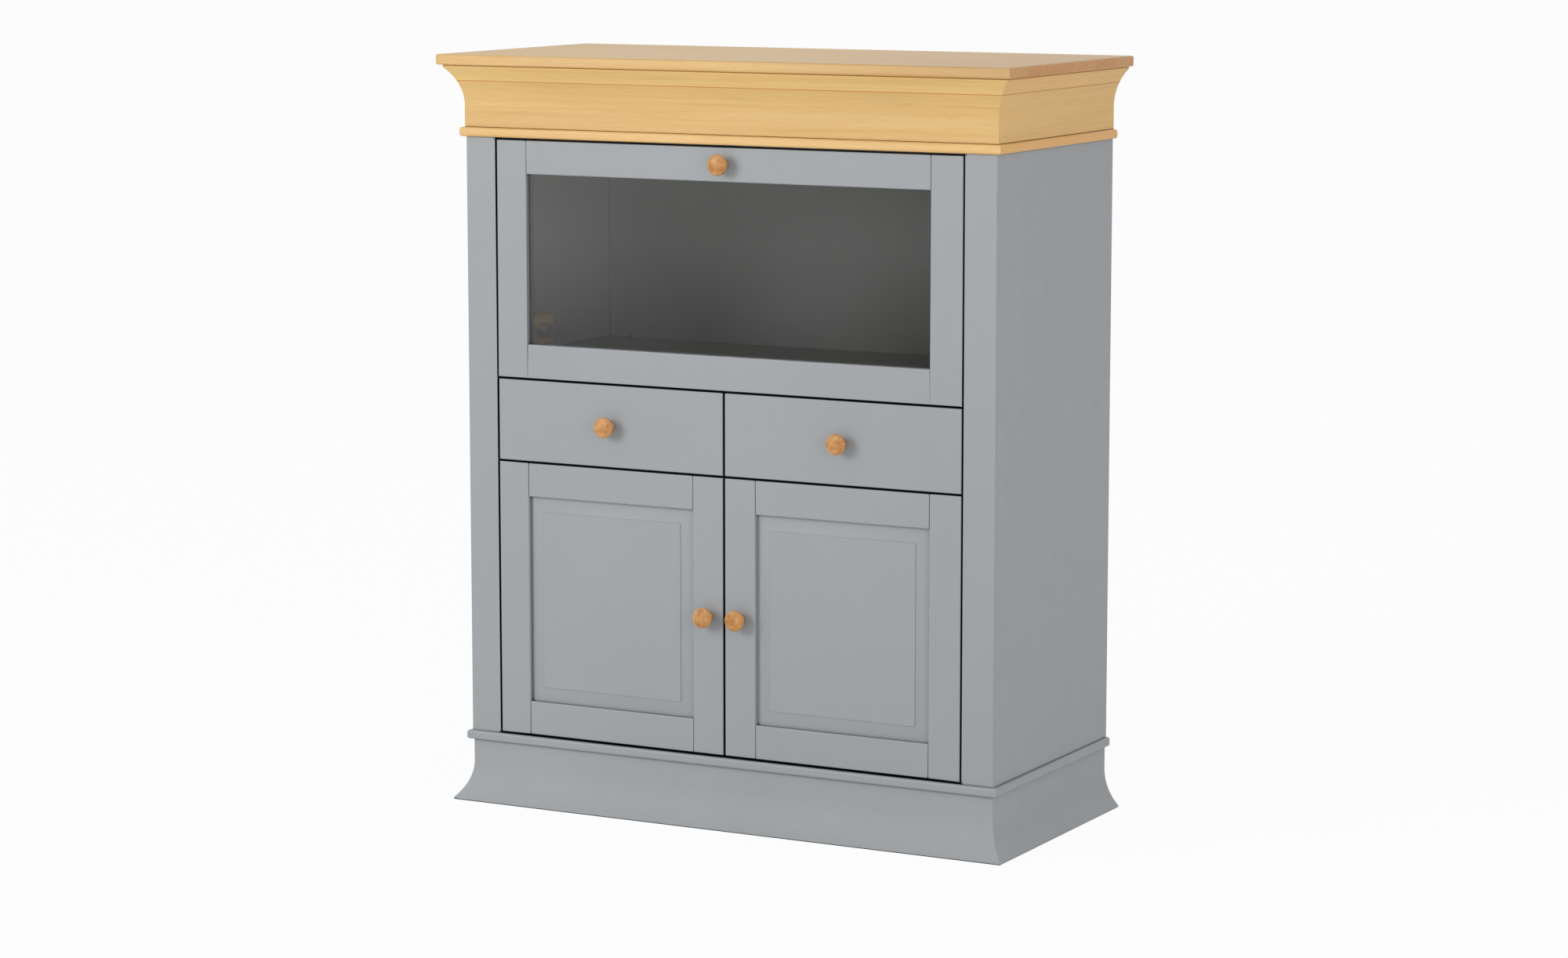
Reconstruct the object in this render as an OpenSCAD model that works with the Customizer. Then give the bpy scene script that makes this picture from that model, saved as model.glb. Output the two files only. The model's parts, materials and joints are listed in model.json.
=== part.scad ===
// Bar cabinet: glazed drop flap over two drawers and two panelled doors,
// on a moulded plinth and under a moulded cornice with a wide top slab.
// Units are millimetres, +Z is up, and the fronts face -Y.
// The origin is the middle of the footprint, on the floor.

/* [Carcass] */
// Width over the painted sides
carcass_w = 1000; // [860:10:1200]
// Depth from the plane of the fronts to the back
carcass_d = 458; // [440:2:540]
// Thickness of each side panel
side_t = 18; // [16:1:22]
// Width of each front post
post_w = 58; // [52:1:70]
// Thickness of each front post
post_t = 22; // [20:1:26]
// Rounding of the outer edge of each front post
post_edge_r = 3; // [1:0.5:6]
// Thickness of the back panel
back_t = 8; // [6:1:12]
// Lap of the back panel over the edge of each side
back_lap = 9; // [6:1:12]
// Thickness of the decks over and under the drawers
deck_t = 18; // [16:1:22]
// Thickness of the divider between the drawers
divider_t = 18; // [16:1:22]
// Thickness of the loose shelf
shelf_t = 16; // [14:1:20]
// Height of the shelf over the cupboard floor
shelf_up = 230; // [160:2:320]
// Distance of the shelf's front edge from the plane of the fronts
shelf_in = 70; // [60:2:120]
// Room that the shelf keeps at its sides and its back
shelf_room = 1; // [0.5:0.5:3]
// Distance of the shelf pins from the shelf's front and from the back panel
shelf_pin_set = 45; // [30:1:70]
// Distance of the two battens in the cornice from the middle
batten_x = 167; // [120:1:260]

/* [Boards, mouldings and top] */
// Thickness of the boards under and over the carcass
board_t = 16; // [14:1:20]
// How far the lower board stands out
lower_board_out = 6.5; // [4:0.5:10]
// Rounding of the lower board's edges
lower_board_r = 4.5; // [2:0.5:6]
// How far the upper board stands out
upper_board_out = 8; // [4:0.5:12]
// Rounding of the upper board's edges
upper_board_r = 5; // [2:0.5:6]
// Height of the plinth moulding
plinth_h = 106; // [90:1:130]
// Height of the cornice moulding
cornice_h = 106; // [90:1:130]
// Thickness of the mouldings behind their flat face
moulding_t = 23; // [18:1:28]
// Height of the hollow curve in the mouldings
cove_h = 63; // [50:1:70]
// How far the hollow curve sweeps out
cove_out = 25.7; // [18:0.1:28]
// Height of the lip past the hollow curve
lip_h = 5; // [4:0.5:8]
// How far the lip stands past the hollow curve
lip_out = 1.3; // [0.6:0.1:2]
// How far the cornice's flat face stands out
cornice_face_out = 1; // [0:0.1:2]
// How far the plinth's flat face stands back
plinth_face_in = 2.5; // [0:0.1:4]
// Thickness of the top slab
slab_t = 18; // [16:1:24]
// Overhang of the top slab at the front and the sides
slab_out = 36; // [34:1:46]
// Rounding of the top slab's edges
slab_r = 3.5; // [1.5:0.5:6]
// Thickness of the rails and battens inside the cornice and the plinth
rail_t = 22; // [18:1:28]
// Side of the square glue blocks in the plinth's corners
glue_block = 34; // [26:2:44]

/* [Fronts] */
// Gap round each door, drawer and the flap
front_gap = 3; // [2.5:0.5:4]
// Thickness of the fronts
front_t = 20; // [20:0.5:24]
// Height of the doors
door_h = 473; // [430:1:560]
// Height of the drawer fronts
drawer_h = 140; // [130:1:170]
// Height of the flap
flap_h = 406; // [340:1:460]
// Width of the stiles and rails of the doors and the flap
stile_w = 58; // [54:1:68]
// Length of the tenons that join the rails to the stiles
tenon_len = 30; // [20:1:34]
// Thickness of those tenons
tenon_t = 8; // [6:0.5:8]
// Shoulder above and below each tenon
tenon_shoulder = 10; // [8:1:14]
// Clearance round the joints of wood in wood
wood_fit = 0.1; // [0.05:0.05:0.3]

/* [Door panels] */
// Distance of the raised field from the plane of the fronts
field_in = 3; // [2:0.5:4]
// Small upright step at the edge of the raised field
field_step = 1.5; // [1:0.1:2]
// Width of the bevelled margin round the raised field
margin_w = 26; // [18:1:34]
// Distance of the panel's tongue from the plane of the fronts
tongue_in = 9; // [8:0.5:10]
// Thickness of the panel's tongue
tongue_t = 5; // [4:0.5:6]
// Depth of the groove that holds the tongue
groove_d = 9; // [7:1:11]
// Room that the panel keeps in the groove to swell
panel_room = 1; // [0.5:0.5:2]

/* [Glass] */
// Thickness of the flap's glass
glass_t = 4; // [3:1:5]
// Distance of the glass from the plane of the fronts
glass_in = 8; // [7:0.5:9]
// Width of the rebate that holds the glass
rebate_w = 8; // [7:1:12]
// Room that the glass keeps in its rebate
glass_room = 1; // [0.5:0.5:1.5]

/* [Knobs] */
// Diameter of the turned knobs
knob_d = 35; // [28:1:40]
// How far the knobs stand out
knob_h = 28; // [24:1:32]
// Diameter of the knob's neck
knob_neck_d = 19; // [14:1:22]
// Diameter of the knob's foot
knob_foot_d = 22; // [18:1:26]
// Height of the dome on the knob's face
knob_dome = 2.5; // [1.5:0.1:3]
// Height of the straight rim of the knob's head
knob_rim = 3.1; // [2:0.1:5]
// Rounding between the rim and the dome
knob_round = 3; // [2:0.5:4]
// Height of the knob's foot
knob_foot_h = 2.5; // [1.5:0.5:4]
// Diameter of the dowel that holds the knob
dowel_d = 8; // [6:1:10]
// Length of that dowel
dowel_len = 14; // [10:1:16]

/* [Door hinges] */
// Distance of the hinge pin from the door's edge
pin_edge = 14; // [13.5:0.1:14.5]
// Distance of the hinge pin from the plane of the fronts
pin_in = 9.5; // [9.3:0.1:9.8]
// Diameter of the hinge pin
pin_d = 2.4; // [2:0.1:2.6]
// Diameter of the hinge cup
cup_d = 35; // [35:0.5:36]
// Distance of the cup's middle from the door's edge
cup_edge = 22; // [21.5:0.1:22.5]
// Depth of the cup in the door
cup_depth = 14; // [14:0.1:14.4]
// Wall of the pressed cup
cup_wall = 1; // [0.8:0.1:1]
// Distance of each hinge from the door's end
hinge_inset = 80; // [76:2:110]
// Rounding of the door's outer front edge
door_edge_r = 2; // [1.5:0.5:2.5]
// Height of the hinge arm
arm_h = 10; // [8:0.5:11]
// Thickness of the hinge arm's bent strip
arm_t = 2; // [1.6:0.1:2.2]
// Angle at which the arm leaves the pin
arm_angle = 28; // [27:0.5:29]
// Length of the arm's first leg
arm_leg = 24; // [23:0.5:26]
// Thickness of the arm's straight body on its plate
arm_body_t = 6; // [4:0.5:8]
// Room between the arm's bend and the swing of the door's back edge
arm_room = 6; // [5:0.5:8]
// Distance of the hinge plate behind the post
plate_set_back = 8; // [6:1:14]
// Length of the hinge plate
plate_len = 52; // [46:1:60]
// Height of the hinge plate
plate_h = 24; // [22:1:30]
// Height of the packing block behind each hinge
hinge_block_h = 70; // [56:2:90]
// Half the width of the cup's ears
cup_ear_w = 9; // [7:0.5:10]
// Half the height of the cup's ears
cup_ear_h = 29; // [27:0.5:32]

/* [Flap pivots and stays] */
// Height of the flap's pivot over its lower edge
pivot_up = 10; // [9:0.5:11]
// Distance of the flap's pivot from the plane of the fronts
pivot_in = 7.5; // [7:0.5:8]
// Diameter of the flap's pivot pins
pivot_d = 8; // [6:0.5:8]
// Depth of the pivot pins in the posts and in the flap
pivot_len = 20; // [16:1:26]
// Rounding of the flap's lower front edge
flap_edge_r = 2; // [1:0.5:3]
// Distance of the stay's swivel from the plane of the fronts
stay_in = 150; // [136:2:170]
// Height of the stay's swivel over the bar deck
stay_up = 42.5; // [40:0.5:46]
// Distance of the stay's eye behind the flap
eye_in = 13; // [12.5:0.5:15]
// Height of the stay's eye over the flap's pivot
eye_up = 66; // [60:1:72]
// Diameter of the stay's sliding rod
rod_d = 5; // [4:0.5:6]
// Length of the sliding rod past its eye
rod_len = 228; // [220:1:240]
// Diameter of the stay's swivel
swivel_d = 22; // [20:1:26]
// Length of the swivel along its stud
swivel_t = 19; // [17:1:22]
// Diameter of the swivel's stud
stud_d = 6; // [5:0.5:7]
// Length of the stud in the swivel
stud_len = 8; // [6:0.5:9]
// Distance of the rod from the swivel's seat
rod_set = 13.5; // [12.5:0.5:15]
// Diameter of the rod's eye
eye_d = 11; // [9:0.5:12]
// Thickness of the rod's eye
eye_t = 4; // [3:0.5:5]
// Thickness of the bracket's ear
ear_t = 2; // [1.5:0.1:2.5]
// Width of the bracket's foot on the flap
bracket_w = 16; // [12:1:20]
// Height of the bracket's foot
bracket_h = 40; // [30:1:50]
// Length and height of the packing block behind the stay
stay_block_l = 78; // [64:1:90]
stay_block_h = 50; // [40:1:60]
// Room between the swing of the fronts' edges and what lies behind them
swing_gap = 2.5; // [1.5:0.1:4]

/* [Drawers] */
// Room between the closed drawers and the back panel
drawer_back_room = 34; // [10:1:80]
// Room between the drawer sides and the deck under them
drawer_up = 4; // [3:0.5:6]
// Height of the drawer sides
drawer_side_h = 108; // [96:1:120]
// Thickness of the drawer sides and back
drawer_side_t = 14; // [13:1:16]
// Thickness of the drawer bottom
drawer_bottom_t = 6; // [5:1:8]
// Height of the drawer bottom over the lower edge of the sides
bottom_up = 8; // [6:1:12]
// Depth of the grooves that hold the drawer bottom
bottom_groove = 6; // [5:0.5:7]
// Room between each drawer side and what it runs beside
side_room = 4; // [3:0.5:5]
// Height of the wooden runners
runner_h = 16; // [14:1:20]
// Depth of the runners' grooves in the drawer sides
runner_groove = 6.5; // [5:0.5:7]
// Room between a runner and its groove
runner_room = 0.6; // [0.4:0.1:1.5]
// Distance of the groove's closed end behind the drawer front
runner_start = 20; // [12:1:40]
// How far the runner's packing stands over and under the runner
packing_margin = 6; // [4:1:10]

/* [Small fittings] */
// Diameter of the shelf pins
shelf_pin_d = 5; // [4:0.5:6]
// Depth of the holes for the shelf pins
shelf_hole = 11; // [9:1:13]
// Spacing of the shelf pin holes
shelf_pitch = 32; // [25:1:40]
// Diameter of the screws' shanks
screw_d = 3.5; // [3:0.5:4]
// Diameter of the screws' heads
head_d = 7; // [6.5:0.5:8]
// Height of the screws' heads
head_h = 2; // [1.5:0.1:2.5]
// Length of the screws' shanks
screw_len = 22; // [18:1:30]
// Thickness of the hinge plates, stay plates and strikes
plate_t = 2; // [1.5:0.1:2.5]
// Length of the magnetic catches
catch_l = 28; // [22:1:34]
// Width of the magnetic catches
catch_w = 40; // [30:1:46]
// Height of the magnetic catches
catch_h = 12; // [10:1:16]
// Thickness of the strikes
strike_t = 1.2; // [1:0.1:1.6]
// Width and height of the strikes
strike_w = 24; // [18:1:30]
strike_h = 16; // [12:1:20]
// Distance of the strikes and catches from the edges beside them
catch_set = 2; // [1:0.5:4]
// Number of back screws along each side
back_screw_rows = 7; // [4:1:9]
// Number of back screws along each deck
back_screw_columns = 5; // [3:1:7]
// Distance of the first and last back screw from the panel's ends
back_screw_set = 40; // [30:1:60]
// Running clearance of every pin in its bore
bore_fit = 0.05; // [0.02:0.01:0.08]
// Clearance between small parts that pass or rest on each other
small_gap = 0.3; // [0.2:0.1:0.5]

/* [Hidden] */
$fn = 48;

grey_paint = [0.63, 0.645, 0.66];
inner_paint = [0.55, 0.555, 0.56];
light_wood = [0.89, 0.74, 0.5];
top_wood = [0.8, 0.72, 0.63];
knob_wood = [0.8, 0.6, 0.38];
runner_wood = [0.78, 0.66, 0.48];
steel = [0.72, 0.72, 0.73];
glass_tint = [0.6, 0.68, 0.68, 0.35];
magnet_case = [0.85, 0.84, 0.8];

// Plan of the cabinet: half widths, and the row's place of the fronts' plane
half_w = carcass_w / 2;
wall_x = half_w - side_t;
opening_x = half_w - post_w;
front_x = opening_x - front_gap;
mid_x = front_gap / 2;
front_y = -(carcass_d - slab_out) / 2;
back_in = carcass_d - back_t;

// Heights of the stack, from the floor up
lower_board_z = plinth_h;
floor_z = lower_board_z + board_t;
door_z = floor_z + front_gap;
door_top = door_z + door_h;
drawer_z = door_top + front_gap;
drawer_top = drawer_z + drawer_h;
flap_z = drawer_top + front_gap;
flap_top = flap_z + flap_h;
ceiling_z = flap_top + front_gap;
cornice_z = ceiling_z + board_t;
slab_z = cornice_z + cornice_h;
top_z = slab_z + slab_t;

// Moulding: radius of the hollow curve and the reach of the lip
cove_r = (cove_out * cove_out + cove_h * cove_h) / (2 * cove_out);
lip_r = lip_h / 2;
mitre_reach = cove_out + lip_out + cornice_face_out + 2;

// Flap: the pivot, and the deck that meets the opened flap
pivot_z = flap_z + pivot_up;
deck_top = pivot_z + front_t - pivot_in;
deck_z = deck_top - deck_t;
bar_deck_in = pivot_in + norm([front_t - pivot_in, pivot_up]) + swing_gap;

// Doors: the deck over them stays behind the swing of their back edges
door_deck_z = door_top + (front_gap - deck_t) / 2;
door_deck_top = door_deck_z + deck_t;
drawer_deck_in = pin_in + norm([front_t - pin_in, pin_edge]) + swing_gap;
pin_x = front_x - pin_edge;
cup_x = front_x - cup_edge;
hinge_heights = [door_z + hinge_inset, door_top - hinge_inset];
plate_in = post_t + plate_set_back;
arm_end_in = pin_in + norm([front_t - pin_in, pin_edge]) + arm_room;

// Stays: the swivel, the eye on the flap, and the rod's line at rest
stay_z = deck_top + stay_up;
eye_y = front_t + eye_in;
eye_z = pivot_z + eye_up;
rod_angle = atan2(eye_z - stay_z, eye_y - stay_in);
rod_reach = norm([eye_z - stay_z, eye_y - stay_in]);
swivel_x = opening_x - plate_t - small_gap;
rod_x = swivel_x - rod_set;
ear_x = rod_x - max(eye_t, rod_d) / 2 - small_gap;

// Drawers: sides, runners and their heights
drawer_side_z = door_deck_top + drawer_up;
drawer_out_x = opening_x - side_room;
drawer_in_x = divider_t / 2 + side_room;
drawer_back_in = back_in - drawer_back_room;
bottom_z = drawer_side_z + bottom_up;
runner_z = drawer_side_z + drawer_side_h / 2 - runner_h / 2;
runner_reach = side_room + runner_groove - runner_room;
runner_start_in = front_t + runner_start;

// Panel field and frame openings of a door
panel_low_z = door_z + stile_w;
panel_high_z = door_top - stile_w;
panel_out_x = front_x - stile_w;
panel_in_x = mid_x + stile_w;
panel_back_in = tongue_in + tongue_t - wood_fit;

// Glass opening of the flap
glass_x = front_x - stile_w;
glass_low_z = flap_z + stile_w;
glass_high_z = flap_top - stile_w;

// Shelf and its pins
shelf_z = floor_z + shelf_up;
shelf_pin_in = [shelf_in + shelf_pin_set, back_in - shelf_pin_set];

// Places across of the back screws, the catches and the door knobs
back_screw_x = wall_x + back_lap / 2;
catch_x = mid_x + catch_w / 2 + catch_set;
knob_x = mid_x + stile_w / 2;

// A block between low and high limits; y is measured back from the fronts
module block(x, y, z) {
    translate([x[0], front_y + y[0], z[0]])
        cube([x[1] - x[0], y[1] - y[0], z[1] - z[0]]);
}

// A section drawn in y and z, carried along x
module along_x(x) {
    translate([x[0], front_y, 0])
        rotate([90, 0, 90])
            linear_extrude(x[1] - x[0])
                children();
}

// A section drawn in x and z, carried along y
module along_y(y) {
    translate([0, front_y + y[1], 0])
        rotate([90, 0, 0])
            linear_extrude(y[1] - y[0])
                children();
}

// A plan drawn in x and y, carried up
module along_z(z) {
    translate([0, front_y, z[0]])
        linear_extrude(z[1] - z[0])
            children();
}

// Round bars that lie along x, y and z
module bar_x(x, y, z, d) {
    translate([x[0], front_y + y, z])
        rotate([0, 90, 0])
            cylinder(h = x[1] - x[0], d = d);
}

module bar_y(x, y, z, d) {
    translate([x, front_y + y[1], z])
        rotate([90, 0, 0])
            cylinder(h = y[1] - y[0], d = d);
}

module bar_z(x, y, z, d) {
    translate([x, front_y + y, z[0]])
        cylinder(h = z[1] - z[0], d = d);
}

// The same piece on the other side of the cabinet
module other_side() {
    mirror([1, 0, 0])
        children();
}

module both_sides() {
    children();
    other_side() children();
}

// What a rounded edge takes off a square corner at the origin
module edge_waste(r) {
    difference() {
        translate([-1, -1]) square(r + 1);
        translate([r, r]) circle(r);
    }
}

// A board's section with its low end rounded, or both ends
module eased_section(u, v, r, both) {
    high = both ? u[1] - r : u[1];
    translate([u[0] + r, v[0]]) square([high - u[0] - r, v[1] - v[0]]);
    translate([u[0], v[0] + r]) square([r, v[1] - v[0] - 2 * r]);
    translate([u[0] + r, v[0] + r]) circle(r);
    translate([u[0] + r, v[1] - r]) circle(r);
    if (both) {
        translate([high, v[0] + r]) square([r, v[1] - v[0] - 2 * r]);
        translate([high, v[0] + r]) circle(r);
        translate([high, v[1] - r]) circle(r);
    }
}

// A board over the whole plan with rounded front and side edges
module eased_board(out, z, t, r) {
    reach = half_w + out;
    intersection() {
        along_x([-reach, reach]) eased_section([-out, carcass_d], [z, z + t], r, false);
        along_y([-out, carcass_d]) eased_section([-reach, reach], [z, z + t], r, true);
    }
}

module top_slab() {
    color(top_wood) eased_board(slab_out, slab_z, slab_t, slab_r);
}

module upper_board() {
    color(light_wood) eased_board(upper_board_out, ceiling_z, board_t, upper_board_r);
}

module lower_board() {
    color(grey_paint) eased_board(lower_board_out, lower_board_z, board_t, lower_board_r);
}

// Section of the moulding: outwards along the first axis, from 0 up to its height
module moulding_section(h, face) {
    flat = h - cove_h - lip_h;
    lip_reach = face + cove_out + lip_out;
    translate([face - moulding_t, 0]) square([moulding_t, h]);
    difference() {
        translate([face, flat]) square([cove_out, cove_h]);
        translate([face + cove_r, flat]) circle(cove_r, $fn = 180);
    }
    translate([face, h - lip_h]) square([lip_reach - lip_r - face, lip_h]);
    translate([lip_reach - lip_r, h - lip_r]) circle(lip_r);
}

// Plan of the front length of a mitred frame, and of its right length
module front_mitre(face) {
    near = half_w + face - moulding_t;
    far = half_w + mitre_reach;
    polygon([
        [-far, -mitre_reach], [far, -mitre_reach],
        [near, moulding_t - face], [-near, moulding_t - face]
    ]);
}

module side_mitre(face) {
    near = half_w + face - moulding_t;
    far = half_w + mitre_reach;
    polygon([
        [far, -mitre_reach], [far, carcass_d],
        [near, carcass_d], [near, moulding_t - face]
    ]);
}

module moulding_front(z, h, face, upside_down) {
    reach = half_w + mitre_reach;
    intersection() {
        along_x([-reach, reach])
            translate([0, upside_down ? z + h : z])
                mirror([1, 0])
                    mirror([0, upside_down ? 1 : 0])
                        moulding_section(h, face);
        along_z([z, z + h]) front_mitre(face);
    }
}

module moulding_side(z, h, face, upside_down) {
    intersection() {
        along_y([-mitre_reach, carcass_d])
            translate([half_w, upside_down ? z + h : z])
                mirror([0, upside_down ? 1 : 0])
                    moulding_section(h, face);
        along_z([z, z + h]) side_mitre(face);
    }
}

module cornice_front() {
    color(light_wood) moulding_front(cornice_z, cornice_h, cornice_face_out, false);
}

module cornice_right() {
    color(light_wood) moulding_side(cornice_z, cornice_h, cornice_face_out, false);
}

module cornice_left() {
    color(light_wood)
        other_side() moulding_side(cornice_z, cornice_h, cornice_face_out, false);
}

module plinth_front() {
    color(grey_paint) moulding_front(0, plinth_h, -plinth_face_in, true);
}

module plinth_right() {
    color(grey_paint) moulding_side(0, plinth_h, -plinth_face_in, true);
}

module plinth_left() {
    color(grey_paint) other_side() moulding_side(0, plinth_h, -plinth_face_in, true);
}

// Rails inside the cornice: one along the back and two from front to back
module cornice_rails() {
    inner_x = half_w + cornice_face_out - moulding_t;
    inner_y = moulding_t - cornice_face_out;
    color(runner_wood) {
        block([-inner_x, inner_x], [carcass_d - rail_t, carcass_d], [cornice_z, slab_z]);
        both_sides()
            block([batten_x, batten_x + rail_t],
                [inner_y + wood_fit, carcass_d - rail_t - wood_fit], [cornice_z, slab_z]);
    }
}

// Back rail of the plinth and the glue blocks in its corners
module plinth_rails() {
    inner_x = half_w - plinth_face_in - moulding_t;
    inner_y = moulding_t + plinth_face_in;
    rail_in = carcass_d - rail_t;
    color(runner_wood) {
        block([-inner_x, inner_x], [rail_in, carcass_d], [0, plinth_h]);
        both_sides() {
            block([inner_x - glue_block, inner_x], [inner_y, inner_y + glue_block],
                [0, plinth_h]);
            block([inner_x - glue_block, inner_x],
                [rail_in - wood_fit - glue_block, rail_in - wood_fit], [0, plinth_h]);
        }
    }
}

// Front post: drilled on its inner edge for the flap's pivot
module post() {
    difference() {
        along_z([floor_z, ceiling_z])
            difference() {
                translate([opening_x, 0]) square([post_w, post_t]);
                translate([half_w, 0]) mirror([1, 0]) edge_waste(post_edge_r);
            }
        bar_x([opening_x - 1, opening_x + pivot_len], pivot_in, pivot_z,
            pivot_d + 2 * bore_fit);
    }
}

module right_post() {
    color(grey_paint) post();
}

module left_post() {
    color(grey_paint) other_side() post();
}

// Side panel: rebated for the back, with rows of holes for the shelf pins
module side_panel() {
    difference() {
        block([wall_x, half_w], [post_t, carcass_d], [floor_z, ceiling_z]);
        block([wall_x - 1, wall_x + back_lap], [back_in, carcass_d + 1],
            [floor_z - 1, ceiling_z + 1]);
        for (depth = shelf_pin_in)
            for (step = [-2:2])
                bar_x([wall_x - 1, wall_x + shelf_hole], depth,
                    shelf_z - shelf_pin_d / 2 + step * shelf_pitch,
                    shelf_pin_d + 2 * bore_fit);
        side_screw_holes();
    }
}

module right_side_panel() {
    color(grey_paint) side_panel();
}

module left_side_panel() {
    color(grey_paint) other_side() side_panel();
}

// Heights of the screws along each side, and places of those along the decks
function back_screw_z(i) =
    floor_z + back_screw_set
        + i * (ceiling_z - floor_z - 2 * back_screw_set) / (back_screw_rows - 1);
function back_deck_x(i) =
    -wall_x + 2 * wall_x * (i + 1) / (back_screw_columns + 1);
back_deck_heights = [door_deck_z + deck_t / 2, deck_z + deck_t / 2];

module back_screw(x, z, extra) {
    bar_y(x, [back_in - screw_len, carcass_d - head_h], z, screw_d + 2 * extra);
    bar_y(x, [carcass_d - head_h - extra, carcass_d + extra], z, head_d + 2 * extra);
}

module side_screw_holes() {
    for (i = [0:back_screw_rows - 1])
        back_screw(back_screw_x, back_screw_z(i), small_gap / 2);
}

module deck_screw_holes(height) {
    for (i = [0:back_screw_columns - 1])
        back_screw(back_deck_x(i), height, small_gap / 2);
}

module back_screws() {
    color(steel) {
        both_sides()
            for (i = [0:back_screw_rows - 1])
                back_screw(back_screw_x, back_screw_z(i), 0);
        for (height = back_deck_heights)
            for (i = [0:back_screw_columns - 1])
                back_screw(back_deck_x(i), height, 0);
    }
}

module back_panel() {
    color(inner_paint)
        difference() {
            block([-wall_x - back_lap, wall_x + back_lap], [back_in, carcass_d],
                [floor_z, ceiling_z]);
            both_sides() side_screw_holes();
            for (height = back_deck_heights)
                deck_screw_holes(height);
        }
}

module bar_deck() {
    color(inner_paint)
        difference() {
            block([-wall_x, wall_x], [bar_deck_in, back_in], [deck_z, deck_top]);
            deck_screw_holes(deck_z + deck_t / 2);
        }
}

module drawer_deck() {
    color(inner_paint)
        difference() {
            block([-wall_x, wall_x], [drawer_deck_in, back_in],
                [door_deck_z, door_deck_top]);
            deck_screw_holes(door_deck_z + deck_t / 2);
        }
}

module drawer_divider() {
    color(inner_paint)
        block([-divider_t / 2, divider_t / 2], [bar_deck_in, back_in],
            [door_deck_top, deck_z]);
}

module shelf() {
    color(inner_paint)
        block([-wall_x + shelf_room, wall_x - shelf_room],
            [shelf_in, back_in - shelf_room], [shelf_z, shelf_z + shelf_t]);
}

module shelf_pins() {
    color(steel)
        both_sides()
            for (depth = shelf_pin_in)
                bar_x([wall_x - shelf_hole, wall_x + shelf_hole - 1], depth,
                    shelf_z - shelf_pin_d / 2, shelf_pin_d);
}

// Packing that brings fittings level with the posts: for hinges, stay and runner
module packing() {
    difference() {
        for (height = hinge_heights)
            block([opening_x, wall_x], [post_t, plate_in + plate_len + packing_margin],
                [height - hinge_block_h / 2, height + hinge_block_h / 2]);
        for (height = hinge_heights)
            hinge_screw_pair(height, small_gap / 2);
    }
    block([opening_x, wall_x],
        [stay_in - stay_block_l / 2, stay_in + stay_block_l / 2],
        [stay_z - stay_block_h / 2, stay_z + stay_block_h / 2]);
    block([opening_x, wall_x], [post_t, back_in],
        [runner_z - packing_margin, runner_z + runner_h + packing_margin]);
}

module packing_blocks() {
    color(runner_wood) both_sides() packing();
}

// Wooden runners on the packing and on both faces of the divider
module drawer_runners() {
    color(runner_wood)
        both_sides() {
            block([opening_x - runner_reach, opening_x],
                [runner_start_in + runner_room, back_in], [runner_z, runner_z + runner_h]);
            block([divider_t / 2, divider_t / 2 + runner_reach],
                [runner_start_in + runner_room, back_in], [runner_z, runner_z + runner_h]);
        }
}

// Screws of a hinge plate, level with the plate's ends
module hinge_screw_pair(height, extra) {
    for (up = [-plate_h / 2 + head_d / 2 + 1, plate_h / 2 - head_d / 2 - 1])
        translate([0, 0, height + up]) {
            depth = plate_in + plate_len - head_d;
            bar_x([opening_x - plate_t - small_gap, opening_x + screw_len], depth, 0,
                screw_d + 2 * extra);
            bar_x([opening_x - plate_t - head_h - extra, opening_x - plate_t], depth, 0,
                head_d + 2 * extra);
        }
}

module hinge_screws() {
    color(steel)
        both_sides()
            for (height = hinge_heights)
                hinge_screw_pair(height, 0);
}

// Plan of the bent arm: an eye round the pin, a strip out of the cup, and a body
module arm_plan() {
    half_t = arm_t / 2;
    bend_x = pin_x - arm_leg * cos(arm_angle);
    bend_in = pin_in + arm_leg * sin(arm_angle);
    mitre = half_t * tan((90 - arm_angle) / 2);
    channel_x = opening_x - plate_t;
    knuckle_d = 2 * (cup_depth - cup_wall - (front_t - pin_in)) - small_gap;
    difference() {
        union() {
            translate([pin_x, pin_in]) circle(d = knuckle_d);
            translate([pin_x, pin_in])
                rotate(180 - arm_angle)
                    translate([0, -half_t])
                        square([arm_leg + mitre, arm_t]);
            polygon([
                [bend_x - half_t, bend_in - mitre], [bend_x + half_t, bend_in + mitre],
                [bend_x + half_t, arm_end_in - half_t],
                [channel_x + plate_t / 2, arm_end_in - half_t],
                [channel_x + plate_t / 2, plate_in + plate_len - 2 * head_d],
                [channel_x - arm_body_t, plate_in + plate_len - 2 * head_d],
                [channel_x - arm_body_t, arm_end_in + half_t],
                [bend_x - half_t, arm_end_in + half_t]
            ]);
        }
        translate([pin_x, pin_in]) circle(d = pin_d + 2 * bore_fit);
    }
}

// Arm on the plate that is screwed to the packing
module hinge_arm(height) {
    along_z([height - arm_h / 2, height + arm_h / 2]) arm_plan();
    difference() {
        block([opening_x - plate_t, opening_x], [plate_in, plate_in + plate_len],
            [height - plate_h / 2, height + plate_h / 2]);
        hinge_screw_pair(height, small_gap / 2);
    }
}

module hinge_arms() {
    color(steel)
        both_sides()
            for (height = hinge_heights)
                hinge_arm(height);
}

module flap_pivot_pins() {
    color(steel)
        both_sides()
            bar_x([opening_x - pivot_len + 1, opening_x + pivot_len - 1], pivot_in, pivot_z,
                pivot_d);
}

// Magnetic catches: two under the drawer deck, one under the upper board
module catch(x, z) {
    start = front_t + strike_t + small_gap;
    block([x - catch_w / 2, x + catch_w / 2], [start, start + catch_l], [z - catch_h, z]);
}

module magnet_catches() {
    color(magnet_case) {
        both_sides() catch(catch_x, door_deck_z);
        catch(0, ceiling_z);
    }
}

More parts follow.
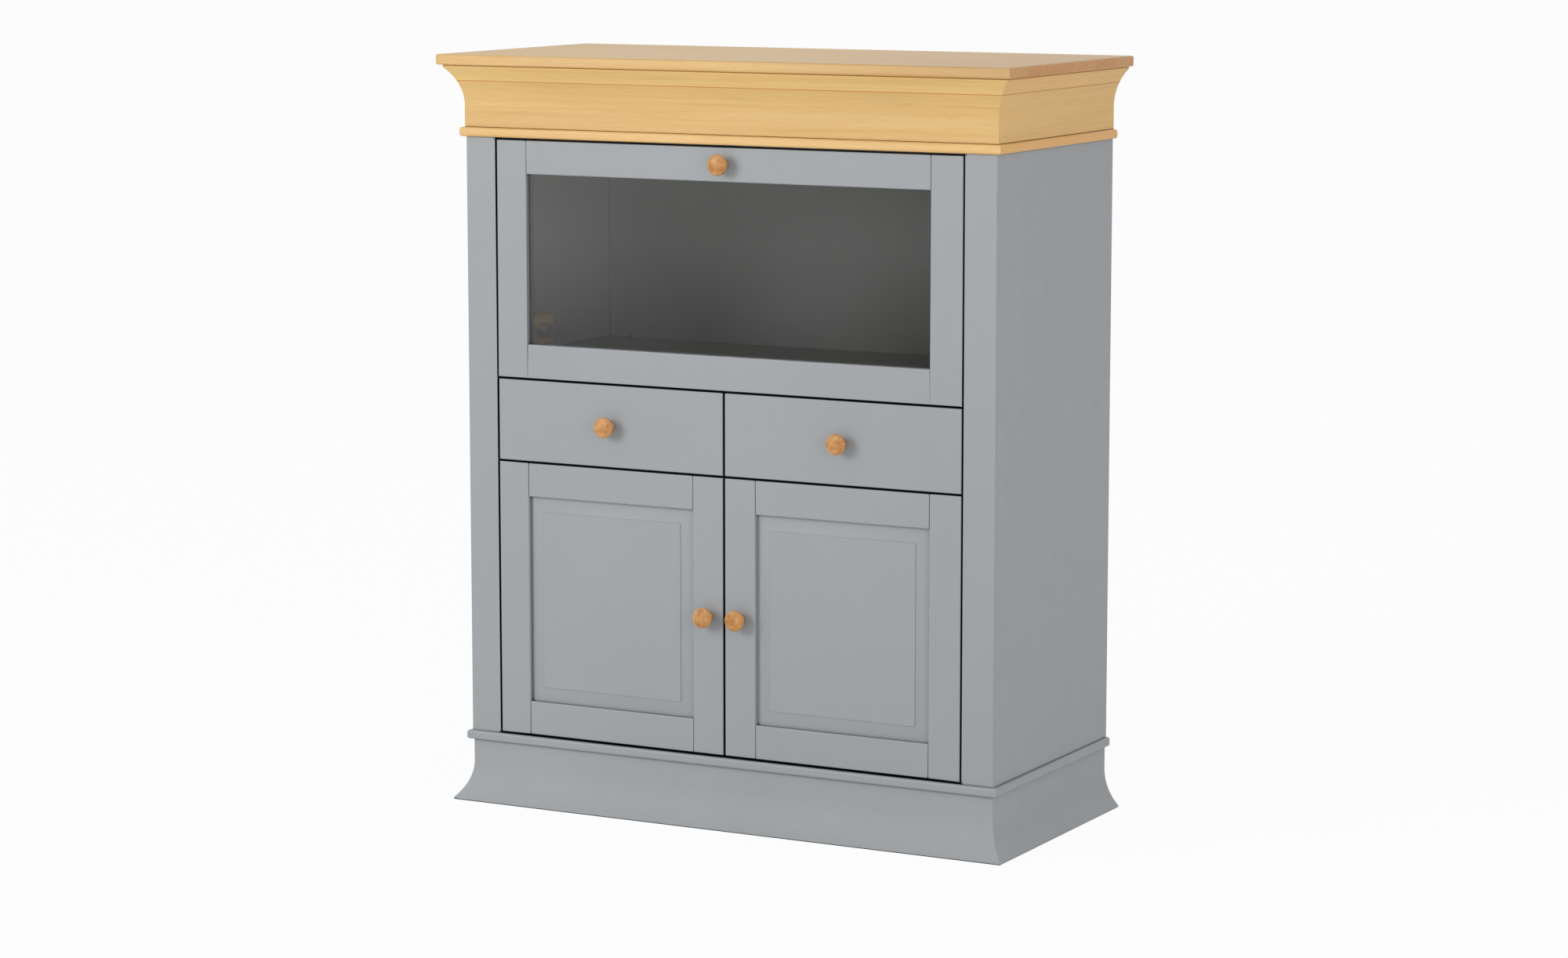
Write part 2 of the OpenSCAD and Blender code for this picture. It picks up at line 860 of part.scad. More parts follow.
// Plate and stud that carry the stay's swivel
module stay_plates() {
    color(steel)
        both_sides() {
            block([opening_x - plate_t, opening_x],
                [stay_in - swivel_d / 2 - head_d, stay_in + swivel_d / 2 + head_d],
                [stay_z - swivel_d / 2, stay_z + swivel_d / 2]);
            bar_x([swivel_x - stud_len, opening_x - plate_t], stay_in, stay_z, stud_d);
        }
}

// Flap: frame of two stiles and two rails, rebated at the back for the glass
module flap_rebate() {
    block([-glass_x - rebate_w, glass_x + rebate_w], [glass_in, front_t + 1],
        [glass_low_z - rebate_w, glass_high_z + rebate_w]);
}

module flap_edge_easing() {
    along_x([-front_x - 1, front_x + 1])
        translate([0, flap_z]) edge_waste(flap_edge_r);
}

// A tenon on the end of a rail, or the mortise for it
module tenon(x, z, extra) {
    block([x - extra, x + tenon_len + extra],
        [(front_t - tenon_t) / 2 - extra, (front_t + tenon_t) / 2 + extra],
        [z + tenon_shoulder - extra, z + stile_w - tenon_shoulder + extra]);
}

module flap_stile() {
    difference() {
        block([glass_x, front_x], [0, front_t], [flap_z, flap_top]);
        flap_rebate();
        flap_edge_easing();
        tenon(glass_x, flap_z, wood_fit);
        tenon(glass_x, flap_top - stile_w, wood_fit);
        bar_x([front_x - pivot_len, front_x + 1], pivot_in, pivot_z, pivot_d + 2 * bore_fit);
    }
}

module flap_right_stile() {
    color(grey_paint) flap_stile();
}

module flap_left_stile() {
    color(grey_paint) other_side() flap_stile();
}

module flap_rail(z) {
    difference() {
        union() {
            block([-glass_x, glass_x], [0, front_t], [z, z + stile_w]);
            both_sides() tenon(glass_x, z, 0);
        }
        flap_rebate();
        flap_edge_easing();
    }
}

module flap_top_rail() {
    color(grey_paint)
        difference() {
            flap_rail(flap_top - stile_w);
            knob_hole(0, flap_top - stile_w / 2);
        }
}

module flap_bottom_rail() {
    color(grey_paint) flap_rail(flap_z);
}

module flap_glass() {
    reach = rebate_w - glass_room;
    color(glass_tint)
        block([-glass_x - reach, glass_x + reach], [glass_in, glass_in + glass_t],
            [glass_low_z - reach, glass_high_z + reach]);
}

// Beads that fill the rebate behind the glass
module flap_glazing_beads() {
    bead_y = [glass_in + glass_t, front_t];
    side_z = [glass_low_z + wood_fit, glass_high_z - wood_fit];
    color(grey_paint) {
        both_sides() block([glass_x, glass_x + rebate_w], bead_y, side_z);
        for (z = [glass_low_z - rebate_w, glass_high_z])
            block([-glass_x - rebate_w, glass_x + rebate_w], bead_y, [z, z + rebate_w]);
    }
}

// Turned knob on a front, with the dowel that holds it.
// The profile's points are a distance from the axis and a height over the front.
module knob(x, z) {
    head_r = knob_d / 2;
    neck_r = knob_neck_d / 2;
    foot_r = knob_foot_d / 2;
    face_r = head_r - knob_round;
    cap_z = knob_h - knob_dome;
    rim_z = cap_z - knob_round - 1;
    head_z = rim_z - knob_rim - 1.6;
    dome_r = (face_r * face_r + knob_dome * knob_dome) / (2 * knob_dome);
    translate([x, front_y, z])
        rotate([90, 0, 0]) {
            rotate_extrude()
                polygon([
                    [0, 0], [foot_r, 0], [foot_r, knob_foot_h - 1], [foot_r - 1, knob_foot_h],
                    [neck_r + 0.6, knob_foot_h + 2], [neck_r, knob_foot_h + 5],
                    [neck_r + 0.8, head_z - 4], [neck_r + 3.5, head_z - 1.6],
                    [head_r - 2, head_z], [head_r, head_z + 1.6], [head_r, rim_z],
                    [head_r - 0.3 * knob_round, rim_z + 0.55 * knob_round],
                    [face_r, cap_z], [0, cap_z]
                ]);
            rotate_extrude($fn = 96)
                intersection() {
                    translate([0, knob_h - dome_r]) circle(dome_r, $fn = 180);
                    translate([0, cap_z - 0.5]) square([face_r, knob_dome + 1]);
                }
            translate([0, 0, -dowel_len]) cylinder(h = dowel_len + 1, d = dowel_d);
        }
}

module knob_hole(x, z) {
    bar_y(x, [-1, dowel_len + 1], z, dowel_d + 2 * bore_fit);
}

module flap_knob() {
    color(knob_wood) knob(0, flap_top - stile_w / 2);
}

// Bracket on the flap's stile with the ear beside the rod's eye
module stay_brackets() {
    ear_d = eye_d + plate_t;
    rivet_d = eye_d / 2 + 1;
    color(steel)
        both_sides() {
            block([ear_x - bracket_w, ear_x], [front_t, front_t + plate_t],
                [eye_z - bracket_h / 2, eye_z + bracket_h / 2]);
            block([ear_x - ear_t, ear_x], [front_t, eye_y],
                [eye_z - ear_d / 2, eye_z + ear_d / 2]);
            bar_x([ear_x - ear_t, ear_x], eye_y, eye_z, ear_d);
            bar_x([ear_x - 2 * ear_t, ear_x - ear_t], eye_y, eye_z, rivet_d);
        }
}

module strike(x, z) {
    block([x - strike_w / 2, x + strike_w / 2], [front_t, front_t + strike_t],
        [z - strike_h / 2, z + strike_h / 2]);
}

module flap_strike() {
    color(steel) strike(0, flap_top - strike_h / 2 - catch_set / 2);
}

// Swivel of the stay: turns on the stud, and the rod slides through it
module stay_swivels() {
    color(steel)
        both_sides()
            difference() {
                bar_x([swivel_x - swivel_t, swivel_x], stay_in, stay_z, swivel_d);
                bar_x([swivel_x - stud_len - small_gap, swivel_x + 1], stay_in, stay_z,
                    stud_d + 2 * bore_fit);
                translate([rod_x, front_y + stay_in, stay_z])
                    rotate([rod_angle, 0, 0])
                        rotate([-90, 0, 0])
                            translate([0, 0, -swivel_d])
                                cylinder(h = 2 * swivel_d, d = rod_d + 2 * bore_fit);
            }
}

// Sliding rod with a flat eye at the flap's end
module stay_rods() {
    color(steel)
        both_sides() {
            translate([rod_x, front_y + stay_in, stay_z])
                rotate([rod_angle, 0, 0])
                    rotate([-90, 0, 0])
                        translate([0, 0, rod_reach - rod_len])
                            cylinder(h = rod_len, d = rod_d);
            bar_x([rod_x - eye_t / 2, rod_x + eye_t / 2], eye_y, eye_z, eye_d);
            bar_x([rod_x - eye_t / 2, rod_x + eye_t / 2 + ear_t], eye_y, eye_z, eye_d / 2 + 1);
        }
}

// Door frame pieces, drawn for the right-hand door
module panel_groove() {
    block([panel_in_x - groove_d, panel_out_x + groove_d], [tongue_in, tongue_in + tongue_t],
        [panel_low_z - groove_d, panel_high_z + groove_d]);
}

module door_tenons(extra) {
    for (z = [door_z, door_top - stile_w]) {
        tenon(panel_out_x, z, extra);
        translate([panel_in_x, 0, 0]) other_side() tenon(0, z, extra);
    }
}

module door_stiles() {
    difference() {
        block([panel_out_x, front_x], [0, front_t], [door_z, door_top]);
        along_z([door_z - 1, door_top + 1])
            translate([front_x, 0]) mirror([1, 0]) edge_waste(door_edge_r);
        panel_groove();
        door_tenons(wood_fit);
        for (height = hinge_heights)
            bar_y(cup_x, [front_t - cup_depth, front_t + 1], height, cup_d);
    }
    difference() {
        block([mid_x, panel_in_x], [0, front_t], [door_z, door_top]);
        panel_groove();
        door_tenons(wood_fit);
        knob_hole(knob_x, (door_z + door_top) / 2);
    }
}

module door_rails() {
    difference() {
        union() {
            for (z = [door_z, door_top - stile_w])
                block([panel_in_x, panel_out_x], [0, front_t], [z, z + stile_w]);
            door_tenons(0);
        }
        panel_groove();
    }
}

// What the bevelled margin takes off one long edge of the panel
module margin_waste(length) {
    tongue = groove_d + 1;
    translate([0, 0, -length / 2])
        linear_extrude(length)
            polygon([
                [-tongue, -1], [-tongue, tongue_in + wood_fit - field_in],
                [0, tongue_in + wood_fit - field_in], [margin_w, field_step], [margin_w, -1]
            ]);
}

// Raised panel: a field, a bevelled margin with mitred corners, and a tongue
module door_panel() {
    reach = groove_d - panel_room;
    middle_x = (panel_in_x + panel_out_x) / 2;
    middle_z = (panel_low_z + panel_high_z) / 2;
    half_x = (panel_out_x - panel_in_x) / 2;
    half_z = (panel_high_z - panel_low_z) / 2;
    length = 2 * max(half_x, half_z) + 4 * groove_d;
    difference() {
        block([panel_in_x - reach, panel_out_x + reach], [field_in, panel_back_in],
            [panel_low_z - reach, panel_high_z + reach]);
        translate([middle_x, front_y + field_in, middle_z]) {
            translate([-half_x, 0, 0]) margin_waste(length);
            mirror([1, 0, 0]) translate([-half_x, 0, 0]) margin_waste(length);
            rotate([0, 90, 0])
                translate([-half_z, 0, 0]) margin_waste(length);
            rotate([0, -90, 0])
                translate([-half_z, 0, 0]) margin_waste(length);
        }
    }
}

// Pressed cups with their ears and pins
module hinge_cup(height) {
    inner_d = cup_d - 2 * bore_fit - 2 * cup_wall;
    chord = sqrt(pow(inner_d / 2, 2) - pow(cup_edge - pin_edge, 2));
    difference() {
        union() {
            bar_y(cup_x, [front_t - cup_depth, front_t + 1], height, cup_d - 2 * bore_fit);
            block([cup_x - cup_ear_w, cup_x + cup_ear_w], [front_t, front_t + plate_t / 2],
                [height - cup_ear_h, height + cup_ear_h]);
        }
        bar_y(cup_x, [front_t - cup_depth + cup_wall, front_t + plate_t], height, inner_d);
    }
    bar_z(pin_x, pin_in, [height - chord - small_gap, height + chord + small_gap], pin_d);
}

module right_door_stiles() {
    color(grey_paint) door_stiles();
}

module right_door_rails() {
    color(grey_paint) door_rails();
}

module right_door_panel() {
    color(grey_paint) door_panel();
}

module right_door_knob() {
    color(knob_wood) knob(knob_x, (door_z + door_top) / 2);
}

module right_hinge_cups() {
    color(steel) for (height = hinge_heights) hinge_cup(height);
}

module right_door_strike() {
    color(steel) strike(catch_x, door_deck_z - catch_h / 2);
}

module left_door_stiles() {
    color(grey_paint) other_side() door_stiles();
}

module left_door_rails() {
    color(grey_paint) other_side() door_rails();
}

module left_door_panel() {
    color(grey_paint) other_side() door_panel();
}

module left_door_knob() {
    color(knob_wood) knob(-knob_x, (door_z + door_top) / 2);
}

module left_hinge_cups() {
    color(steel) other_side() for (height = hinge_heights) hinge_cup(height);
}

module left_door_strike() {
    color(steel) other_side() strike(catch_x, door_deck_z - catch_h / 2);
}

// Drawer pieces, drawn for the right-hand drawer
drawer_knob_x = (mid_x + front_x) / 2;
drawer_knob_z = (drawer_z + drawer_top) / 2;

module drawer_bottom_block(extra) {
    block([drawer_in_x + drawer_side_t - bottom_groove - extra,
            drawer_out_x - drawer_side_t + bottom_groove + extra],
        [front_t - bottom_groove - extra, drawer_back_in + extra],
        [bottom_z - extra, bottom_z + drawer_bottom_t + extra]);
}

module drawer_front() {
    difference() {
        block([mid_x, front_x], [0, front_t], [drawer_z, drawer_top]);
        knob_hole(drawer_knob_x, drawer_knob_z);
        drawer_bottom_block(wood_fit);
    }
}

// Two grooved sides and the back between them, over the drawer bottom
module drawer_box() {
    side_z = [drawer_side_z, drawer_side_z + drawer_side_h];
    groove_z = [runner_z - runner_room, runner_z + runner_h + runner_room];
    difference() {
        block([drawer_in_x, drawer_in_x + drawer_side_t], [front_t, drawer_back_in], side_z);
        block([drawer_in_x - 1, drawer_in_x + runner_groove],
            [runner_start_in, drawer_back_in + 1], groove_z);
        drawer_bottom_block(wood_fit);
    }
    difference() {
        block([drawer_out_x - drawer_side_t, drawer_out_x], [front_t, drawer_back_in], side_z);
        block([drawer_out_x - runner_groove, drawer_out_x + 1],
            [runner_start_in, drawer_back_in + 1], groove_z);
        drawer_bottom_block(wood_fit);
    }
    block([drawer_in_x + drawer_side_t + wood_fit, drawer_out_x - drawer_side_t - wood_fit],
        [drawer_back_in - drawer_side_t, drawer_back_in],
        [bottom_z + drawer_bottom_t + wood_fit, side_z[1]]);
}

module right_drawer_front() {
    color(grey_paint) drawer_front();
}

module right_drawer_box() {
    color(runner_wood) drawer_box();
}

module right_drawer_bottom() {
    color(runner_wood) drawer_bottom_block(0);
}

module right_drawer_knob() {
    color(knob_wood) knob(drawer_knob_x, drawer_knob_z);
}

module left_drawer_front() {
    color(grey_paint) other_side() drawer_front();
}

module left_drawer_box() {
    color(runner_wood) other_side() drawer_box();
}

module left_drawer_bottom() {
    color(runner_wood) other_side() drawer_bottom_block(0);
}

module left_drawer_knob() {
    color(knob_wood) knob(-drawer_knob_x, drawer_knob_z);
}

top_slab();
cornice_front();
cornice_left();
cornice_right();
cornice_rails();
upper_board();
left_side_panel();
right_side_panel();
left_post();
right_post();
lower_board();
plinth_front();
plinth_left();
plinth_right();
plinth_rails();
bar_deck();
drawer_deck();
drawer_divider();
back_panel();
shelf();
shelf_pins();
packing_blocks();
drawer_runners();
hinge_arms();
hinge_screws();
back_screws();
flap_pivot_pins();
magnet_catches();
stay_plates();
flap_left_stile();
flap_right_stile();
flap_top_rail();
flap_bottom_rail();
flap_glass();
flap_glazing_beads();
flap_knob();
stay_brackets();
flap_strike();
stay_swivels();
stay_rods();
left_door_stiles();
left_door_rails();
left_door_panel();
left_door_knob();
left_hinge_cups();
left_door_strike();
right_door_stiles();
right_door_rails();
right_door_panel();
right_door_knob();
right_hinge_cups();
right_door_strike();
left_drawer_front();
left_drawer_box();
left_drawer_bottom();
left_drawer_knob();
right_drawer_front();
right_drawer_box();
right_drawer_bottom();
right_drawer_knob();
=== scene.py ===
# %% [markdown]
# # A bar cabinet in Blender
# The real object is a painted wooden cabinet: a glazed flap over two drawers and two
# panelled doors, on a moulded plinth and under a cornice and a top of clear-lacquered wood.
# The joiner's solids arrive as a fixed frame, already in place and in metres. This lesson
# adds what a maker adds last: eased edges, swept mouldings, turned knobs, screws, paint,
# lacquer and glass. Nothing here moves a solid, so every piece can ride on its CAD body.

import json
import math

import bmesh
import bpy
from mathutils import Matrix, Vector


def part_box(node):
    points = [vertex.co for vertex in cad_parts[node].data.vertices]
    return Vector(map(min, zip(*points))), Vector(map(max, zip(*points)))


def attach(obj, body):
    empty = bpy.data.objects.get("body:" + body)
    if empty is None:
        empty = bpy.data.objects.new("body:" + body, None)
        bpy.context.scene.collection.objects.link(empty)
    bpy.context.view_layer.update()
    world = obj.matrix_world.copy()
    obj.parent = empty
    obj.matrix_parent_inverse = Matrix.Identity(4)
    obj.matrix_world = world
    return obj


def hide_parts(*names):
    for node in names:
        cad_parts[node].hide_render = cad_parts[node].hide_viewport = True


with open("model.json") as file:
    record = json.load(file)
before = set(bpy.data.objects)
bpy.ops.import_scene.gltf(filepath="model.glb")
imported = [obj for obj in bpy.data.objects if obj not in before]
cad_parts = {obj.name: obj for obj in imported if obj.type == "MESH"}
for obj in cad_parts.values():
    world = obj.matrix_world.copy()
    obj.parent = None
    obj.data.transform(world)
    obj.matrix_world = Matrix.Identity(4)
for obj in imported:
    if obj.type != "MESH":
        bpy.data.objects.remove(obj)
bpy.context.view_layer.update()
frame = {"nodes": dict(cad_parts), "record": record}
MM = 0.001
body_of = {
    node: body
    for body, nodes in frame["record"]["behaviour"]["bodies"].items()
    for node in nodes
}
slot_of = {part["node"]: part["material_slot"] for part in frame["record"]["subparts"]}

# %% [markdown]
# ## The camera
# The photograph was straightened, so its upright edges run parallel. A level camera with a
# large vertical shift would copy that, but would push the cabinet out of every picture from
# another side. So this camera looks a little down, without a shift. Place, turn, tilt and
# lens come from a fit to the photograph's edges, and leave about three pixels of its 2000.

# %% Camera at the photograph's place
CAMERA_PLACE = (3.30808, -6.23244, 1.60358)
CAMERA_TURN = 27.94497
CAMERA_TILT = 8.34014
CAMERA_LENS = 95.55039
CAMERA_SENSOR = 36

scene = bpy.context.scene


def linked(name, data):
    """A new object for a mesh, lamp or camera, linked into the scene."""
    thing = bpy.data.objects.new(name, data)
    scene.collection.objects.link(thing)
    return thing


camera = linked("photo_camera", bpy.data.cameras.new("photo_camera"))
camera.data.sensor_width = CAMERA_SENSOR
camera.data.lens = CAMERA_LENS
camera.location = CAMERA_PLACE
camera.rotation_euler = (math.radians(90 - CAMERA_TILT), 0, math.radians(CAMERA_TURN))
scene.camera = camera
scene.view_settings.view_transform = "Standard"
print("camera", CAMERA_LENS, "mm at", CAMERA_PLACE)

# %% [markdown]
# ## Building node trees
# Materials and geometry trees are built from code, so small helpers keep the cells short.
# `step` adds one node and either sets an input or links another node's output to it.
# `linear` turns a colour as a paint chart gives it, from 0 to 255, into Blender's values.

# %% Helpers for node trees
def step(tree, kind, inputs=None, **settings):
    """Adds a node. Inputs are named or numbered; a value is set and a socket is linked."""
    node = tree.nodes.new(kind)
    for name, value in settings.items():
        setattr(node, name, value)
    for name, value in (inputs or {}).items():
        if isinstance(value, bpy.types.NodeSocket):
            tree.links.new(value, node.inputs[name])
        else:
            node.inputs[name].default_value = value
    return node


def linear(red, green, blue):
    """A chart colour from 0 to 255 as a linear colour with full alpha."""
    parts = [c / 255 for c in (red, green, blue)]
    return (*[c / 12.92 if c < 0.04045 else ((c + 0.055) / 1.055) ** 2.4 for c in parts], 1)


def new_finish(name, **constants):
    """A material with one Principled shader, whose constant inputs are set on its sockets."""
    material = bpy.data.materials.new(name)
    material.use_nodes = True
    shader = material.node_tree.nodes["Principled BSDF"]
    for socket, value in constants.items():
        shader.inputs[socket.replace("_", " ")].default_value = value
    return material, material.node_tree, shader


def coat(tree, shader, colour, gloss=None):
    """Links a colour, and perhaps a roughness, to the shader."""
    tree.links.new(colour, shader.inputs["Base Color"])
    if gloss:
        tree.links.new(gloss, shader.inputs["Roughness"])


def maths(tree, operation, first, second=0.5):
    """One sum or comparison; returns its output."""
    return step(tree, "ShaderNodeMath", {0: first, 1: second}, operation=operation).outputs[0]


def beside(tree, value, place, reach):
    """1 within a reach of a place, and 0 elsewhere."""
    inputs = {0: value, 1: place, 2: reach}
    return step(tree, "ShaderNodeMath", inputs, operation="COMPARE").outputs[0]


def object_places(tree, scale=(1, 1, 1)):
    """The piece's own coordinates in metres, stretched by a scale."""
    places = step(tree, "ShaderNodeTexCoord").outputs["Object"]
    return step(tree, "ShaderNodeMapping", {"Vector": places, "Scale": scale}).outputs[0]


def place_parts(tree):
    """The x, y and z of the piece's own coordinates."""
    return step(tree, "ShaderNodeSeparateXYZ", {"Vector": object_places(tree)}).outputs


def noise(tree, scale, detail=4.0, roughness=0.55, distortion=0.0):
    """Noise in the piece's coordinates; scale is cycles per metre along x, y and z."""
    inputs = {
        "Vector": object_places(tree, scale),
        "Scale": 1.0,
        "Detail": detail,
        "Roughness": roughness,
        "Distortion": distortion,
    }
    return step(tree, "ShaderNodeTexNoise", inputs).outputs["Fac"]


def ramp(tree, value, stops):
    """A colour ramp from (place, colour) stops; returns its colour."""
    node = step(tree, "ShaderNodeValToRGB", {"Fac": value})
    elements = node.color_ramp.elements
    for element, (place, colour) in zip(elements, (stops[0], stops[-1])):
        element.position, element.color = place, colour
    for place, colour in stops[1:-1]:
        elements.new(place).color = colour
    return node.outputs["Color"]


def span(tree, value, low, high, to_low, to_high):
    """Maps a value from one span to another, without passing its ends."""
    inputs = {0: value, 1: low, 2: high, 3: to_low, 4: to_high}
    return step(tree, "ShaderNodeMapRange", inputs, clamp=True).outputs[0]


def blend_colours(tree, share, first, second, blend_type="MIX"):
    """Mixes two colours, each a socket or a colour."""
    node = step(tree, "ShaderNodeMix", data_type="RGBA", blend_type=blend_type)
    ends = [s for s in node.inputs if s.type == "RGBA"]
    for socket, value in ((node.inputs[0], share), (ends[0], first), (ends[1], second)):
        if isinstance(value, bpy.types.NodeSocket):
            tree.links.new(value, socket)
        else:
            socket.default_value = value
    return [s for s in node.outputs if s.type == "RGBA"][0]


def relief(tree, shader, height, depth, strength=1.0):
    """Bump on the shader; depth is the height of the relief in metres."""
    inputs = {"Height": height, "Distance": depth, "Strength": strength}
    bump = step(tree, "ShaderNodeBump", inputs)
    tree.links.new(bump.outputs["Normal"], shader.inputs["Normal"])


# Painted shade: where ambient occlusion finds another surface within reach, a colour is
# multiplied towards these shade colours.
SHADE_REACH = 0.006
SHADE_SAMPLES = 8
DEEP_JOINT = 0.4
OPEN_FACE = 0.7
PAINTED_SHADE_ON_PAINT = (0.02, 0.02, 0.024, 1)
PAINTED_SHADE_ON_WOOD = (0.12, 0.07, 0.035, 1)
SOFT_PAINTED_SHADE_ON_WOOD = (0.72, 0.6, 0.45, 1)
# The gaps round the fronts are painted darker, and their recesses lighter, by shifting the
# painted shade.
JOINT_REACH = 0.0045
JOINT_SHADE_DEEPER = 0.26
RECESS_START = 0.0015
RECESS_SHADE_LIGHTER = 0.2

flap_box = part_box("flap_left_stile")
half_opening = (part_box("right_post")[0].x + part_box("flap_right_stile")[1].x) / 2
half_joint = half_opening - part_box("flap_right_stile")[1].x
joint_heights = [flap_box[1].z + half_joint] + [
    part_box(front)[0].z - half_joint
    for front in ("flap_left_stile", "left_drawer_front", "left_door_stiles")
]


def front_shade_shift(tree):
    """Shift of the painted shade: above 0 in the fronts' recesses, which get less painted
    shade, and below 0 in the gaps round the fronts, which get more.
    """
    x, y, z = place_parts(tree)
    across = maths(tree, "ABSOLUTE", x)
    under_flap = maths(tree, "LESS_THAN", z, joint_heights[1])
    joint = maths(tree, "MULTIPLY", beside(tree, x, 0, JOINT_REACH), under_flap)
    for value, place in [(across, half_opening)] + [(z, height) for height in joint_heights]:
        joint = maths(tree, "MAXIMUM", joint, beside(tree, value, place, JOINT_REACH))
    within = maths(tree, "LESS_THAN", across, half_opening + JOINT_REACH)
    above = maths(tree, "GREATER_THAN", z, joint_heights[-1] - JOINT_REACH)
    within = maths(tree, "MULTIPLY", within, above)
    joint = maths(tree, "MULTIPLY", joint, within)
    behind = maths(tree, "GREATER_THAN", y, flap_box[0].y + RECESS_START)
    recess = maths(tree, "SUBTRACT", maths(tree, "MULTIPLY", behind, within), joint)
    recess = maths(tree, "MULTIPLY", maths(tree, "MAXIMUM", recess, 0), RECESS_SHADE_LIGHTER)
    return maths(tree, "SUBTRACT", recess, maths(tree, "MULTIPLY", joint, JOINT_SHADE_DEEPER))


def painted_joint_shade(tree, colour, shade, shift=0.0):
    """Painted shade: darkens a colour where another surface is close, in gaps, corners and
    recesses.
    """
    inputs = {"Distance": SHADE_REACH}
    occlusion = step(tree, "ShaderNodeAmbientOcclusion", inputs, samples=SHADE_SAMPLES)
    openness = maths(tree, "ADD", occlusion.outputs["AO"], shift)
    dark = blend_colours(tree, 1.0, colour, shade, "MULTIPLY")
    return blend_colours(tree, span(tree, openness, DEEP_JOINT, OPEN_FACE, 0, 1), dark, colour)


print("helpers ready")

# %% [markdown]
# ## Paint
# The carcass and fronts are sprayed with satin grey paint. Sprayed paint isn't one flat
# value: the film is a hair thicker in places, its gloss wanders, and close up it has a fine
# orange-peel relief. Three noises give that. The inside boards have a thinner, duller coat
# of the same grey. The bar deck and the back panel are painted a step darker than the
# walls, as painted shade, and a painted shadow darkens the back panel low at the right
# behind the glass. The plinth's grey is painted a step lighter, as painted light on its
# cove. All paints but the glazing beads' also get painted shade where surfaces are close.

# %% Painted finishes
DECK_TOP = 0.7665
# Where the painted shadow on the back panel falls.
CORNER_FADE = 0.02
CORNER_TOP = 1.0
CORNER_LEFT, CORNER_RIGHT = -0.3, 0.15
PEEL_DEPTH = 0.00002
PAINT = (164, 168, 172)
PAINT_WARM = (160, 163, 165)


def low_right_shadow(tree):
    """Where the back panel's painted shadow falls: 1 low at the right just above the bar deck,
    falling to 0 upwards and to the left.
    """
    x, _, z = place_parts(tree)
    above_deck = span(tree, z, DECK_TOP - CORNER_FADE, DECK_TOP, 0, 1)
    low = maths(tree, "MINIMUM", above_deck, span(tree, z, DECK_TOP, CORNER_TOP, 1, 0))
    return maths(tree, "MULTIPLY", low, span(tree, x, CORNER_LEFT, CORNER_RIGHT, 0, 1))


def painted(name, colour, other, roughness, peel, gloss_level=0.4, corner=None, joints=True):
    """Sprayed paint that wanders between two colours; peel is how fine its relief is."""
    material, tree, shader = new_finish(name, Specular_IOR_Level=gloss_level)
    clouds = noise(tree, (2.2, 2.2, 1.4), detail=2.0)
    film = noise(tree, (34, 34, 20), detail=3.0)
    broad = span(tree, clouds, 0.3, 0.7, 0, 0.8)
    share = maths(tree, "ADD", broad, span(tree, film, 0.3, 0.7, 0, 0.2))
    colour_socket = blend_colours(tree, share, linear(*colour), linear(*other))
    # Painted shadow: the corner colour darkens the paint low at the right.
    if corner:
        colour_socket = blend_colours(tree, low_right_shadow(tree), colour_socket, linear(*corner))
    # Painted shade where another surface is close, deeper in the gaps round the fronts and
    # lighter in their recesses.
    if joints:
        colour_socket = painted_joint_shade(tree, colour_socket, PAINTED_SHADE_ON_PAINT, front_shade_shift(tree))
    gloss = span(tree, film, 0.3, 0.7, roughness - 0.03, roughness + 0.04)
    coat(tree, shader, colour_socket, gloss)
    relief(tree, shader, noise(tree, (peel, peel, peel * 0.8), detail=2.0), PEEL_DEPTH)
    return material


paints = {
    kind: painted(f"{kind}_grey_paint", *main, **rest)
    for kind, main, rest in (
        ("satin", (PAINT, PAINT_WARM, 0.42, 420), {}),
        ("inside", ((158, 160, 162), PAINT_WARM, 0.55, 700), {}),
        # The deck's grey is painted darker than the inside walls: painted shade.
        ("deck", ((128, 130, 131), (122, 124, 125), 0.5, 700), {}),
        # The back panel's grey is painted a step darker, as painted shade, and its corner
        # colour is a painted shadow.
        ("back", ((149, 151, 152), (151, 153, 155), 0.55, 700), {"corner": (110, 109, 104)}),
        ("bead", (PAINT, PAINT_WARM, 0.42, 420), {"joints": False}),
        # The plinth's grey is painted a step lighter than the satin grey: painted light on its
        # cove.
        ("plinth", ((171, 175, 179), (166, 169, 171), 0.6, 420), {"gloss_level": 0.15}),
    )
}
finishes = {"grey_paint": paints["satin"], "inner_paint": paints["inside"]}
print("painted finishes:", len(paints))

# %% [markdown]
# ## Wood
# The cornice, the boards and the top are pale solid wood under clear lacquer. Wood has a
# direction: growth lines run along the board and wander slowly, and where a board is cut
# across, the cut shows darker end grain. So each finish is told its board's direction, and
# the surface normal decides where end grain shows. The mouldings' side lengths run from
# front to back, so they get the same wood turned by a quarter.

# %% Wood finishes
WOOD_END = (203, 136, 72)
LIGHT_WOOD = ((235, 197, 135), (230, 190, 126), (222, 179, 114), WOOD_END)
LIPPING = (243, 183, 107)
RUNNER_WOOD = ((224, 198, 158), (214, 186, 144), (198, 166, 122), (190, 156, 112))
CORNICE_GLUE_HEIGHT = 1.248
GLUE_LINE = 0.0016
SOFT_SHADE_HEIGHT = 1.2
TOP_STAVE = 0.088
STAVE_LINE = 0.0006
GLUE_SHARE, LINE_SHARE, PORE_SHARE = 0.85, 0.25, 0.6
STAVE_TURN = 2.4
STAVE_PHASE = 8.77
TOP_SHADE_TO = 0.55
GRAIN_DEPTH = 0.00008


def along_grain(axis, along, across):
    """A scale with few cycles along the grain and many across it."""
    return tuple(along if i == axis else across for i in range(3))


